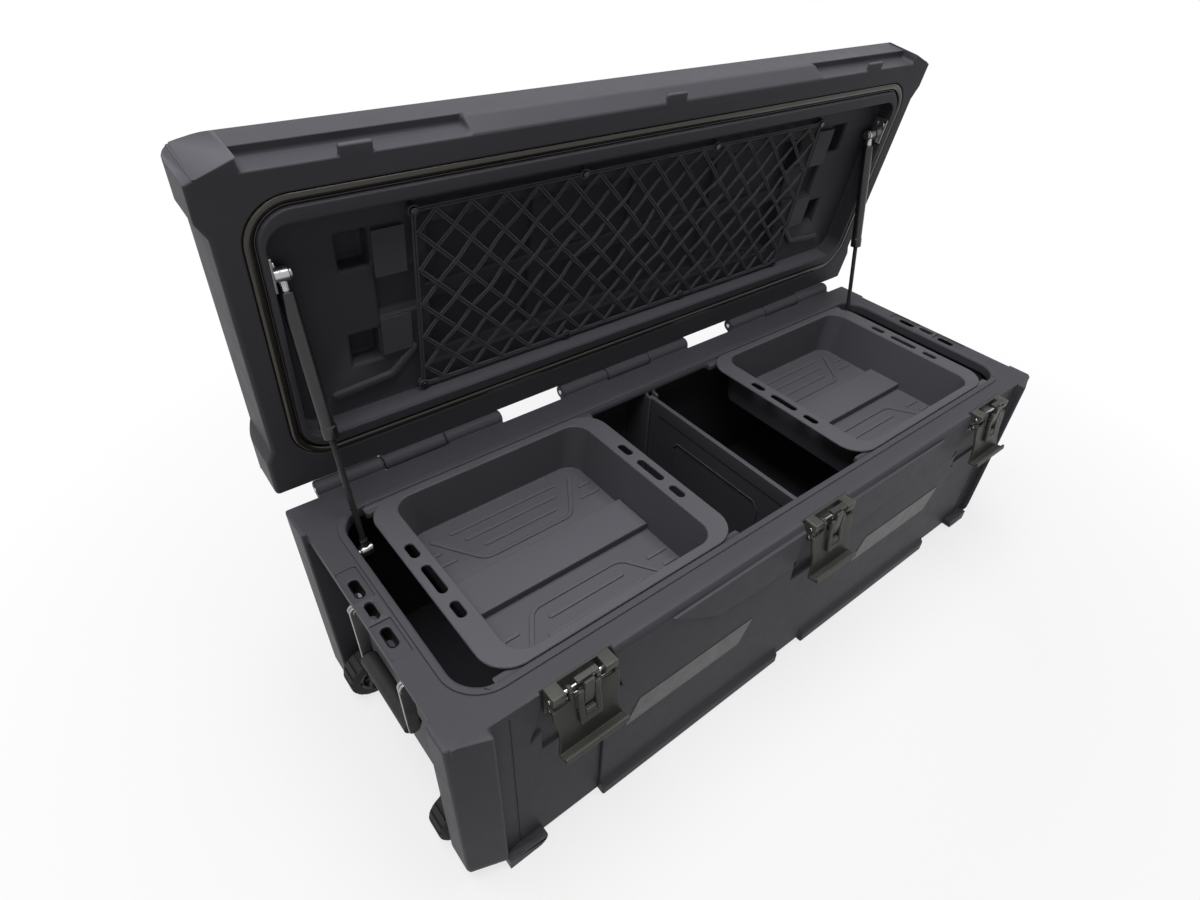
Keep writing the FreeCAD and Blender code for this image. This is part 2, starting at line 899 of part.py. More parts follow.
def pocket_ribs():
    """Low bands that part the recess behind the net into panels."""
    top = liner_panel + s.pocket_depth
    low = top - s.pocket_rib_height
    columns = int(number(s.pocket_columns))
    pitch = pocket_length / columns
    across = about(s.net_shift, pocket_width)
    ribs = [
        block(about(pitch * (index - columns / 2), s.pocket_rib), across, (low, top))
        for index in range(1, columns)
    ]
    ribs.append(block(
        about(0 * pitch, pocket_length), about(s.net_shift, s.pocket_rib), (low, top)
    ))
    return ribs


def net_screw_places():
    """Corners of the net and points along its two long sides."""
    x = net_length / 2 - s.net_border / 2
    y = net_width / 2 - s.net_border / 2
    return [(x * share, s.net_shift + side * y) for share in (-1, -1 / 3, 1 / 3, 1) for side in SIDES]


def lid_liner():
    wall = s.liner_wall
    skin = rounded(
        (-liner_x - wall, liner_x + wall),
        (-liner_y - wall, liner_y + wall),
        (lid_low, liner_panel + wall),
        s.liner_radius + wall,
    )
    hollow = rounded((-liner_x, liner_x), (-liner_y, liner_y), (lid_low, liner_panel), s.liner_radius)
    pan = cut(fuse(skin, *liner_pockets(wall)), hollow, *liner_pockets(0 * wall))
    bosses = [
        rod("Z", place, (net_z + s.net_thickness, liner_panel + wall), s.net_boss_radius)
        for place in net_screw_places()
    ]
    holes = [
        rod("Z", place, (net_z + s.net_thickness, liner_panel), s.net_screw_radius + s.running_gap)
        for place in net_screw_places()
    ]
    node("lid_liner", cut(fuse(pan, *pocket_ribs(), *bosses), *holes), LID_OPEN)


def net_outline(points):
    vectors = [FreeCAD.Vector(x, y + number(s.net_shift), number(net_z)) for x, y in points]
    return Part.makePolygon(vectors + vectors[:1])


def cargo_net():
    """A flat diamond mesh in a border, one holed face drawn to its thickness."""
    length, width = number(net_length), number(net_width)
    border = number(s.net_border)
    columns, rows = int(number(s.net_columns)), int(number(s.net_rows))
    half_x = (length / 2 - border) / columns
    half_y = (width / 2 - border) / rows
    reach = half_x * half_y / math.hypot(half_x, half_y)
    keep = 1 - number(s.net_cord) / 2 / reach
    a, b = half_x * keep, half_y * keep
    holes = []
    for i in range(2 * columns + 1):
        for j in range(2 * rows + 1):
            if (i + j) % 2 or (i in (0, 2 * columns) and j in (0, 2 * rows)):
                continue
            x, y = (i - columns) * half_x, (j - rows) * half_y
            left, right = (x if i == 0 else x - a), (x if i == 2 * columns else x + a)
            low, high = (y if j == 0 else y - b), (y if j == 2 * rows else y + b)
            corners = [(left, y), (x, low), (right, y), (x, high)]
            if i in (0, 2 * columns):
                corners = [(x, low), (right if i == 0 else left, y), (x, high)]
            if j in (0, 2 * rows):
                corners = [(left, y), (right, y), (x, high if j == 0 else low)]
            holes.append(net_outline(corners))
    edge = net_outline([
        (-length / 2, -width / 2), (length / 2, -width / 2), (length / 2, width / 2), (-length / 2, width / 2)
    ])
    bore = number(s.net_screw_radius) + number(s.running_gap)
    for x, y in net_screw_places():
        centre = FreeCAD.Vector(number(x), number(y), number(net_z))
        holes.append(Part.Wire(Part.makeCircle(bore, centre)))
    face = Part.Face([edge] + holes, "Part::FaceMakerBullseye")
    net = document.addObject("Part::Feature", "net")
    net.Shape = face.extrude(FreeCAD.Vector(0, 0, number(s.net_thickness)))
    node("cargo_net", net, LID_OPEN)


def net_screws():
    screws = []
    for place in net_screw_places():
        head = rod("Z", place, (net_z - s.screw_head_height, net_z), s.net_screw_head)
        shank = rod("Z", place, (net_z, liner_panel), s.net_screw_radius)
        screws.append(fuse(head, shank))
    group("net_screws", screws, LID_OPEN)


# Gas struts, drawn along Z from the lid's pivot and placed at their open angle

def strut_ends():
    lid_pivot = FreeCAD.Vector(number(strut_x), number(strut_lid_y), number(rim + s.strut_lid_rise))
    base_pivot = FreeCAD.Vector(number(strut_x), number(strut_base_y), number(rim - s.strut_base_drop))
    return LID_OPEN.multVec(lid_pivot), base_pivot


def strut_placement(side):
    upper, lower = strut_ends()
    run = lower - upper
    angle = math.degrees(math.atan2(-run.y, run.z))
    place = FreeCAD.Vector(side * upper.x, upper.y, upper.z)
    return FreeCAD.Placement(place, FreeCAD.Rotation(AXES["X"], angle))


def strut(side, name):
    upper, lower = strut_ends()
    open_length = (lower - upper).Length
    place = strut_placement(side)
    zero = 0 * rim
    eye_x = about(zero, s.eye_width)
    tube_low, tube_high = s.eye_neck, s.eye_neck + s.strut_length
    bore = s.stud_radius + s.running_gap

    eye = fuse(
        rod("X", (zero, zero), eye_x, s.eye_radius),
        rod("Z", (zero, zero), (zero, tube_low), s.eye_neck_radius),
    )
    node(f"strut_lid_eye_{name}", cut(eye, rod("X", (zero, zero), eye_x, bore)), place)

    tube = fuse(
        rod("Z", (zero, zero), (tube_low, tube_high), s.strut_radius),
        rod("Z", (zero, zero), (tube_high - s.strut_collar_length, tube_high), s.strut_collar_radius),
    )
    hollow = rod("Z", (zero, zero), (tube_low + s.wall, tube_high), s.strut_bore)
    node(f"strut_cylinder_{name}", cut(tube, hollow), place)

    gland_low = tube_high - s.gland_length
    gland = cut(
        rod("Z", (zero, zero), (gland_low, tube_high), s.strut_bore),
        rod("Z", (zero, zero), (gland_low, tube_high), s.rod_radius + s.running_gap),
    )
    node(f"strut_gland_{name}", gland, place)

    rod_end = open_length - s.eye_neck
    piston_high = gland_low - s.knuckle_gap
    moving_rod = fuse(
        rod("Z", (zero, zero), (piston_high - s.piston_length, piston_high), s.strut_bore - s.running_gap),
        rod("Z", (zero, zero), (piston_high - s.piston_length, rod_end), s.rod_radius),
    )
    node(f"strut_rod_{name}", moving_rod, place)

    stud_tip = end_wall - s.wall - bracket_reach() - s.open_pivot_gap - strut_x
    base_eye = fuse(
        rod("X", (zero, open_length), eye_x, s.eye_radius),
        rod("Z", (zero, zero), (rod_end, rod_end + s.eye_neck), s.eye_neck_radius),
        rod("X", (zero, open_length), span(side, zero, stud_tip), s.stud_radius),
    )
    node(f"strut_base_eye_{name}", base_eye, place)


def bracket_reach():
    """How far a base bracket stands in from the end wall: up to the strut's stud."""
    return end_wall - s.wall - strut_x - s.eye_width / 2 - 4 * s.running_gap - s.stud_radius


def screw_pair(side, face, y, z, apart):
    """Two pan heads on a plate's face, one above the other."""
    return [
        rod("X", (y, z + step * apart / 2), span(side, face - s.screw_head_height, face), s.screw_head_radius)
        for step in SIDES
    ]


def strut_brackets():
    base_screws, lid_screws = [], []
    wall_face = end_wall - s.wall
    for side, name in zip(SIDES, ("left", "right")):
        y, z = strut_base_y, rim - s.strut_base_drop
        plate_y = (y - s.bracket_length + s.bracket_boss_radius, y + s.bracket_boss_radius)
        plate_x = span(side, wall_face - s.bracket_thickness, wall_face)
        plate = block(plate_x, plate_y, about(z, s.bracket_width))
        boss = rod("X", (y, z), span(side, wall_face - bracket_reach(), wall_face), s.bracket_boss_radius)
        node(f"strut_base_bracket_{name}", fuse(plate, boss))
        screw_y = y - s.bracket_length + 2 * s.bracket_boss_radius
        base_screws += screw_pair(side, wall_face - s.bracket_thickness, screw_y, z, s.bracket_width / 2)

        y, z = strut_lid_y, rim + s.strut_lid_rise
        plate_y = (y - s.lid_bracket_length + s.bracket_boss_radius, y + s.bracket_boss_radius)
        plate_x = span(side, liner_x - s.bracket_thickness, liner_x)
        plate = block(plate_x, plate_y, (lid_low, lid_low + s.bracket_width))
        stud = rod("X", (y, z), span(side, strut_x - s.eye_width / 2 - s.knuckle_gap, liner_x), s.stud_radius)
        cap = rod(
            "X", (y, z),
            span(side, strut_x - s.eye_width / 2 - s.knuckle_gap - s.bracket_thickness,
                 strut_x - s.eye_width / 2 - s.knuckle_gap),
            s.stud_radius + s.screw_radius,
        )
        node(f"strut_lid_bracket_{name}", fuse(plate, stud, cap), LID_OPEN)
        screw_y = y - s.lid_bracket_length + 2 * s.bracket_boss_radius
        screw_z = lid_low + s.bracket_width / 2
        lid_screws += screw_pair(side, liner_x - s.bracket_thickness, screw_y, screw_z, s.bracket_width / 2)
    group("strut_base_bracket_screws", base_screws)
    group("strut_lid_bracket_screws", lid_screws, LID_OPEN)


# Trays and divider

def tray(side, name):
    flange_z = (tray_seat_z, tray_seat_z + s.tray_flange_thickness)
    flange_y = open_y - s.tray_clearance
    rim_top = flange_z[1]
    floor = rim_top - s.tray_depth
    middle = side * (tray_near + tray_far) / 2
    inner_x = tray_length / 2 - s.tray_end_flange
    inner_y = flange_y - s.tray_side_flange

    def basin(extra):
        top_x, low_x = inner_x + extra, inner_x + extra - s.tray_draft
        outline = [
            (middle - top_x, rim_top),
            (middle + top_x, rim_top),
            (middle + low_x, floor - extra),
            (middle - low_x, floor - extra),
        ]
        solid = prism("Y", outline, (-inner_y - extra, inner_y + extra))

        def upright(edge):
            return edge.BoundBox.ZLength > number(s.tray_depth) / 2

        return round_edges(solid, s.tray_radius + extra, upright)

    corner = s.tray_radius + s.tray_side_flange
    flange = rounded(about(middle, tray_length), (-flange_y, flange_y), flange_z, corner)
    step_x = inner_x - s.tray_draft
    step_z = (floor, floor + s.tray_step_height)
    step = block(about(middle, 2 * step_x), about(0 * rim, s.tray_step_width), step_z)
    step_room = block(
        about(middle, 2 * step_x - 2 * s.tray_wall),
        about(0 * rim, s.tray_step_width - 2 * s.tray_wall),
        (floor - s.tray_wall, floor + s.tray_step_height - s.tray_wall),
    )
    slots = []
    for end in SIDES:
        x = middle + end * (tray_length - s.tray_end_flange) / 2
        for index, length in zip((-1, 0, 1), (s.tray_slot_short, s.tray_slot_long, s.tray_slot_short)):
            slots.append(slot(x, index * s.tray_slot_pitch, flange_z, length, s.tray_slot_width, "Y"))
    shell = cut(fuse(flange, basin(s.tray_wall)), basin(0 * s.tray_wall), *slots)
    node(f"tray_{name}", cut(fuse(shell, step), step_room))


def divider():
    thickness = s.divider_thickness
    half_width = open_y - s.divider_clearance - s.tray_clearance
    low = floor_top + s.divider_clearance
    high = rim - s.divider_drop
    panel = block(about(0 * half, thickness), (-half_width, half_width), (low, high))
    border = s.divider_panel_border
    sunk = [
        block(
            span(side, thickness / 2 - s.divider_panel_depth, thickness / 2),
            (-half_width + border, half_width - border),
            (low + border, high - border),
        )
        for side in SIDES
    ]
    node("divider", cut(panel, *sunk))


# Draw latches, drawn pressed home and placed at their rest angle

def latch(middle, name):
    reach = s.latch_width / 2
    pin_bore = s.latch_pin_radius + s.running_gap
    inner_ear = s.hook_claw_width / 2 + 2 * s.hook_clearance
    ear_width = s.lever_ear
    block_low = reach - s.latch_block_width
    pivot = (pivot_y, pivot_z)
    hook_pin = (hook_pin_y, hook_pin_z)
    pivot_point = FreeCAD.Vector(number(middle), number(pivot_y), number(pivot_z))
    turn = FreeCAD.Rotation(AXES["X"], -number(s.lever_rest_angle))
    at_rest = FreeCAD.Placement(FreeCAD.Vector(), turn, pivot_point)
    pin_point = FreeCAD.Vector(number(middle), number(hook_pin_y), number(hook_pin_z))
    hook_rest = FreeCAD.Placement(at_rest.multVec(pin_point) - pin_point, FreeCAD.Rotation())

    plate_y = latch_y - s.latch_plate
    mount = [block(
        about(middle, s.latch_width - s.latch_plate),
        (plate_y, latch_y),
        (rim - s.latch_plate_height, rim + s.latch_block_rise),
    )]
    for side in SIDES:
        stretch = tuple(middle + edge for edge in span(side, block_low, reach - s.latch_plate / 2))
        mount.append(block(
            stretch, (pivot_y, latch_y), (pivot_z - s.latch_block_radius, rim + s.latch_block_rise)
        ))
        block_y = (pivot_y - s.latch_block_radius, latch_y)
        mount.append(block(stretch, block_y, (pivot_z, rim + s.latch_block_rise)))
        mount.append(rod("X", pivot, stretch, s.latch_block_radius))
    bore = rod("X", pivot, about(middle, s.latch_width), pin_bore)
    node(f"latch_mount_{name}", cut(fuse(*mount), bore))

    lever_y = latch_y - s.lever_out
    lever_top = hook_pin_z + s.latch_pin_radius
    lever_low = pivot_z - s.lever_length
    waist = reach - s.lever_waist
    drop = (lever_top - lever_low) / 4
    right_edge = [(reach, lever_top), (reach, lever_top - drop), (waist, lever_top - 2 * drop),
                  (waist, lever_top - 3 * drop), (reach, lever_low)]
    outline = [(middle + x, z) for x, z in right_edge] + [(middle - x, z) for x, z in reversed(right_edge)]
    plate = prism("Y", outline, (lever_y - s.lever_thickness, lever_y))
    lip_tip = lever_y - s.lever_thickness - s.lever_lip
    lip = fuse(
        block(about(middle, s.latch_width), (lip_tip, lever_y), (lever_low - s.lever_thickness, lever_low)),
        block(
            about(middle, s.latch_width),
            (lip_tip, lip_tip + s.lever_thickness),
            (lever_low - s.lever_thickness, lever_low + s.lever_thickness),
        ),
    )
    window = block(
        about(middle, 2 * inner_ear),
        (lever_y - s.lever_thickness, lever_y),
        (lever_top - s.lever_length / 4, lever_top),
    )
    ears, eyes = [], []
    for side in SIDES:
        near = tuple(middle + edge for edge in span(side, inner_ear, inner_ear + ear_width))
        far = tuple(middle + edge for edge in span(side, reach - ear_width, reach))
        ear_y = (lever_y - s.lever_thickness, pivot_y + s.lever_ear)
        ears.append(block(near, ear_y, (hook_pin_z - s.lever_ear, pivot_z)))
        ears.append(rod("X", pivot, near, s.lever_ear))
        for stretch in (near, far):
            ears.append(rod("X", hook_pin, stretch, s.lever_ear))
            ears.append(block(stretch, (lever_y, hook_pin_y), about(hook_pin_z, 2 * s.lever_ear)))
    eyes.append(rod("X", pivot, about(middle, s.latch_width), pin_bore))
    eyes.append(rod("X", hook_pin, about(middle, s.latch_width), pin_bore))
    node(f"latch_lever_{name}", cut(fuse(cut(plate, window), lip, *ears), *eyes), at_rest)
    pin = rod("X", hook_pin, about(middle, s.latch_width), s.latch_pin_radius)
    group(f"latch_hook_pin_{name}", [pin], at_rest)

    arm_y = latch_y - s.hook_arm_out
    strike_y = latch_y - s.latch_pivot_out - s.hook_pin_in
    claw_low = lid_low + s.strike_height + s.hook_clearance
    claw_high = claw_low + s.hook_claw_height
    arm_x = about(middle, s.hook_width)
    hook = fuse(
        block(arm_x, (arm_y - s.hook_thickness, arm_y), (hook_pin_z - s.lever_ear, claw_high)),
        block(arm_x, (arm_y, hook_pin_y), about(hook_pin_z, 2 * s.lever_ear)),
        rod("X", hook_pin, arm_x, s.lever_ear),
        block(
            about(middle, s.hook_claw_width),
            (arm_y - s.hook_thickness, strike_y + s.hook_bite),
            (claw_low, claw_high),
        ),
    )
    node(f"latch_hook_{name}", cut(hook, rod("X", hook_pin, arm_x, pin_bore)), hook_rest)

    leg = (s.catch_width - s.hook_width) / 2 - s.hook_clearance
    catch_y = lever_y - s.lever_thickness - s.hook_clearance
    plate_top = hook_pin_z - s.lever_length / 4
    catch = [block(
        about(middle, s.catch_width),
        (catch_y - s.catch_thickness, catch_y),
        (plate_top - s.catch_length / 2, plate_top),
    )]
    for side in SIDES:
        low = s.catch_width / 2 - leg
        stretch = tuple(middle + edge for edge in span(side, low, s.catch_width / 2))
        catch.append(block(
            stretch, (catch_y - s.catch_thickness, catch_y), (plate_top, hook_pin_z + s.lever_ear)
        ))
        catch.append(block(stretch, (catch_y, hook_pin_y), about(hook_pin_z, 2 * s.lever_ear)))
        catch.append(rod("X", hook_pin, stretch, s.lever_ear))
    catch_bore = rod("X", hook_pin, about(middle, s.catch_width), pin_bore)
    node(f"latch_catch_{name}", cut(fuse(*catch), catch_bore), at_rest)


def latch_fasteners():
    pins, screws = [], []
    screw_z = rim - s.latch_plate_height + 2 * s.screw_head_radius
    plate_face = latch_y - s.latch_plate
    for middle in latch_places:
        pins.append(rod("X", (pivot_y, pivot_z), about(middle, s.latch_width), s.latch_pin_radius))
        for side in SIDES:
            x = middle + side * (s.latch_width / 2 - s.latch_block_width)
            head = (plate_face - s.screw_head_height, plate_face)
            screws.append(rod("Y", (x, screw_z), head, s.screw_head_radius))
    group("latch_pivot_pins", pins)
    group("latch_mount_screws", screws)


# Wheels at the left end

def wheel(side, name):
    y = side * s.wheel_track / 2
    width = about(y, s.wheel_width)
    centre = (-wheel_x, wheel_z)

    def shoulder(edge):
        return edge.Length > 2 * math.pi * (number(s.wheel_radius) - 1)

    tread = round_edges(rod("Y", centre, width, s.wheel_radius), s.wheel_bevel, shoulder)
    grooves = []
    count = int(number(s.tread_blocks))
    for index in range(count):
        groove = block(
            about(0 * y, s.tread_groove),
            width,
            (s.wheel_radius - s.tread_depth, s.wheel_radius + s.tread_depth),
        )
        turn = FreeCAD.Rotation(AXES["Y"], 360 * index / count)
        moved = document.addObject("Part::Compound", "groove")
        moved.Links = [groove]
        moved.Placement = FreeCAD.Placement(FreeCAD.Vector(-number(wheel_x), 0, number(wheel_z)), turn)
        grooves.append(moved)
    node(f"tyre_{name}", cut(tread, rod("Y", centre, width, s.hub_radius), *grooves))

    ring = cut(
        rod("Y", centre, width, s.hub_radius),
        rod("Y", centre, width, s.hub_radius - s.hub_rim),
    )
    barrel = rod("Y", centre, width, s.hub_barrel)
    spokes = []
    spoke_y = about(y, s.wheel_width - 2 * s.spoke_inset)
    for index in range(int(number(s.spoke_count)) // 2):
        reach = s.hub_radius - s.hub_rim / 2
        spoke = block(about(0 * y, s.spoke_width), spoke_y, (-reach, reach))
        turn = FreeCAD.Rotation(AXES["Y"], 360 * index / number(s.spoke_count))
        moved = document.addObject("Part::Compound", "spoke")
        moved.Links = [spoke]
        moved.Placement = FreeCAD.Placement(FreeCAD.Vector(-number(wheel_x), 0, number(wheel_z)), turn)
        spokes.append(moved)
    bore = rod("Y", centre, width, s.axle_radius + s.running_gap)
    node(f"wheel_hub_{name}", cut(fuse(ring, barrel, *spokes), bore))
    node(f"wheel_axle_{name}", rod("Y", centre, about(y, 2 * (wheel_room + s.axle_cheek)), s.axle_radius))


# Carry handles

def carry_handle(side, name):
    x, z = side * handle_x, handle_z
    grip_z = z - s.handle_arm
    arm_inner = s.grip_length / 2 + s.handle_side_gap
    arm_outer = arm_inner + s.handle_arm_thickness
    ear_inner = arm_outer + s.handle_side_gap
    ear_outer = ear_inner + s.handle_arm_thickness
    wall_x = span(side, end_wall, end_wall + s.bracket_thickness)
    brackets, arms, eyes = [], [], []
    for edge in SIDES:
        foot_y = span(edge, ear_inner, ear_inner + s.handle_bracket_width)
        plate = block(wall_x, foot_y, about(z, s.handle_bracket_height))
        ear_y = span(edge, ear_inner, ear_outer)
        ear = block(span(side, end_wall, handle_x), ear_y, about(z, s.handle_arm_width))
        tip = rod("Y", (x, z), ear_y, s.handle_arm_width / 2)
        pin = rod("Y", (x, z), span(edge, arm_inner - s.handle_side_gap, ear_outer), s.handle_pin_radius)
        brackets.append(fuse(plate, ear, tip, pin))
        arm_y = span(edge, arm_inner, arm_outer)
        arms.append(block(about(x, s.handle_arm_width), arm_y, (grip_z, z)))
        for end_z in (grip_z, z):
            arms.append(rod("Y", (x, end_z), arm_y, s.handle_arm_width / 2))
        eyes.append(rod("Y", (x, z), arm_y, s.handle_pin_radius + s.running_gap))
    arms.append(rod("Y", (x, grip_z), (-arm_outer, arm_outer), s.grip_rod_radius))
    group(f"handle_brackets_{name}", brackets)
    node(f"handle_bail_{name}", cut(fuse(*arms), *eyes))
    grip_y = (-s.grip_length / 2, s.grip_length / 2)
    inside = rod("Y", (x, grip_z), grip_y, s.grip_rod_radius)
    sleeve = cut(rod("Y", (x, grip_z), grip_y, s.grip_radius), inside)
    node(f"handle_grip_{name}", sleeve)


def build():
    base_tub()
    label_plates()
    hinge_pins()
    lid_shell()
    lid_gasket()
    lid_liner()
    cargo_net()
    net_screws()
    strut_brackets()
    divider()
    for side, name in zip(SIDES, ("left", "right")):
        strut(side, name)
        tray(side, name)
        carry_handle(side, name)
    for middle, name in zip(latch_places, latch_names):
        latch(middle, name)
    latch_fasteners()
    for side, name in zip(SIDES, ("front", "rear")):
        wheel(side, name)
    document.recompute()


def check():
    """Stops if any feature failed or any sub-part has no valid shape."""
    for item in document.Objects:
        if "Invalid" in item.State or "Error" in item.State:
            raise RuntimeError(f"{item.Label} of type {item.TypeId} failed: {item.State}")
    for label, item in nodes.items():
        if item.Shape.isNull() or not item.Shape.isValid():
            raise RuntimeError(f"{label} has no valid shape")


def write():
    os.makedirs("parts", exist_ok=True)
    for label, item in nodes.items():
        item.Shape.exportStep(f"parts/{label}.step")
        print(f"{label}: {len(item.Shape.Solids)} solids, {item.Shape.Volume / 1000:.1f} cm3")


build()
check()
write()
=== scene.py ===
import json
import math

import bmesh
import bpy
from mathutils import Matrix, Vector
from mathutils.bvhtree import BVHTree
from mathutils.kdtree import KDTree

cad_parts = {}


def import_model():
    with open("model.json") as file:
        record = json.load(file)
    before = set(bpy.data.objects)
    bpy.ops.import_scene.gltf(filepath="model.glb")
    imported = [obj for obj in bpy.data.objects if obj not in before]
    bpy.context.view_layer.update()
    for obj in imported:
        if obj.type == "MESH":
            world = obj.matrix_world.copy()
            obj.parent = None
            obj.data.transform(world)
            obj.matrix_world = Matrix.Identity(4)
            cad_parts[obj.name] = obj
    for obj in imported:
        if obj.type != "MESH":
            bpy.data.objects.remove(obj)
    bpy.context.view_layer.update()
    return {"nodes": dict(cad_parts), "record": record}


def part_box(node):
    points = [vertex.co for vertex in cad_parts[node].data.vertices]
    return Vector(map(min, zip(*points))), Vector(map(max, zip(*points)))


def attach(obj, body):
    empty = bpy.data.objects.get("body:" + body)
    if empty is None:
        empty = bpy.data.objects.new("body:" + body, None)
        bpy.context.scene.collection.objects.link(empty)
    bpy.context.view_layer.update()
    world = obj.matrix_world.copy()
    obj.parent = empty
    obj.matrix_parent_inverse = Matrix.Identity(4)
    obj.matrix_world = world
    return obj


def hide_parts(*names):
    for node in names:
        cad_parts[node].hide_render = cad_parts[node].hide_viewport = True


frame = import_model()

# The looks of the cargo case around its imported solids: copies of the solids with rounded edges, finer forms
# where the solids are plain, materials, light and camera. Lengths are in millimetres, unless they are
# multiplied by MM or a comment says metres.

MM = 0.001
NODES = frame["nodes"]
RECORD = frame["record"]
BODY_OF = {node: body for body, members in RECORD["behaviour"]["bodies"].items() for node in members}
SLOT_OF = {row["node"]: row["material_slot"] for row in RECORD["subparts"]}
# The net's screws are black, unlike the others.
SLOT_OF["net_screws"] = "strut_black"

# What sits in the lid is drawn with the lid shut and turned open about its hinge.
HINGE = Vector((0, 238, 327)) * MM
LID_ANGLE = math.radians(-80.8)
LID_OPEN = Matrix.Translation(HINGE) @ Matrix.Rotation(LID_ANGLE, 4, "X") @ Matrix.Translation(-HINGE)


# Materials

MIX_FIRST, MIX_SECOND, MIX_RESULT = 6, 7, 2  # the colour sockets of a Mix node
NOISE_SPAN = (0.3, 0.7)  # where most values of a noise lie
DOT_SPAN = (0.55, 0.68)  # noise at the edge and in the middle of a speckle
HIGHLIGHT_SPAN = (0.515, 0.60)  # how pointed an edge is where its painted highlight starts and where it is full
FINE_DETAIL = 2.0
PATCH_DETAIL = 4.0
PATCH_SCALE = 6  # how much finer the uneven gloss is than the clouded colour
GRAIN_HEIGHT = 0.0006  # metres


def link(tree, source, target):
    """Joins a node's output to another node's input."""
    tree.links.new(source, target)


def noise(tree, coords, scale, detail=3.0, roughness=0.55):
    """A noise texture's value; the scale is in waves to the metre."""
    texture = tree.nodes.new("ShaderNodeTexNoise")
    texture.inputs["Scale"].default_value = scale
    texture.inputs["Detail"].default_value = detail
    texture.inputs["Roughness"].default_value = roughness
    link(tree, coords, texture.inputs["Vector"])
    return texture.outputs["Fac"]


def stretch(tree, value, low, high, new_low=0, new_high=1):
    """A value mapped from one range to another and held within it."""
    mapping = tree.nodes.new("ShaderNodeMapRange")
    mapping.inputs["From Min"].default_value = low
    mapping.inputs["From Max"].default_value = high
    mapping.inputs["To Min"].default_value = new_low
    mapping.inputs["To Max"].default_value = new_high
    link(tree, value, mapping.inputs["Value"])
    return mapping.outputs["Result"]


def tinted(tree, factor, first, second):
    """A mix of two colours, each of them fixed or a node's output."""
    mix = tree.nodes.new("ShaderNodeMix")
    mix.data_type = "RGBA"
    link(tree, factor, mix.inputs["Factor"])
    for socket, colour in ((mix.inputs[MIX_FIRST], first), (mix.inputs[MIX_SECOND], second)):
        if isinstance(colour, tuple):
            socket.default_value = (*colour, 1)
        else:
            link(tree, colour, socket)
    return mix.outputs[MIX_RESULT]


def shade(colour, factor):
    """A colour made lighter or darker."""
    return tuple(part * factor for part in colour)


def surface(name, colour, roughness, spread=0.12, cloud=7.0, rough_spread=0.06, grain=700.0, depth=0.12,
            edge_highlight=None, metallic=0.0, specular=0.5, speckle=None):
    """A node material: clouded colour, uneven roughness, fine grain, and where asked speckles and painted
    highlights on sharp edges.
    """
    made = bpy.data.materials.new(name)
    made.use_nodes = True
    tree = made.node_tree
    shader = tree.nodes["Principled BSDF"]
    shader.inputs["Metallic"].default_value = metallic
    shader.inputs["Specular IOR Level"].default_value = specular
    coords = tree.nodes.new("ShaderNodeTexCoord").outputs["Object"]
    clouds = stretch(tree, noise(tree, coords, cloud), *NOISE_SPAN)
    base = tinted(tree, clouds, shade(colour, 1 - spread), shade(colour, 1 + spread))
    if speckle:
        dot_scale, dot_colour = speckle
        dots = noise(tree, coords, dot_scale, FINE_DETAIL)
        base = tinted(tree, stretch(tree, dots, *DOT_SPAN), base, dot_colour)
    # Painted highlight: the sharpest edges are painted in a lighter colour, standing in for light catching
    # them.
    if edge_highlight:
        point = tree.nodes.new("ShaderNodeNewGeometry").outputs["Pointiness"]
        base = tinted(tree, stretch(tree, point, *HIGHLIGHT_SPAN), base, edge_highlight)
    link(tree, base, shader.inputs["Base Color"])
    patches = noise(tree, coords, cloud * PATCH_SCALE, PATCH_DETAIL)
    rough = stretch(tree, patches, *NOISE_SPAN, roughness - rough_spread, roughness + rough_spread)
    link(tree, rough, shader.inputs["Roughness"])
    bump = tree.nodes.new("ShaderNodeBump")
    bump.inputs["Strength"].default_value = depth
    bump.inputs["Distance"].default_value = GRAIN_HEIGHT
    link(tree, noise(tree, coords, grain, FINE_DETAIL), bump.inputs["Height"])
    link(tree, bump.outputs["Normal"], shader.inputs["Normal"])
    return made


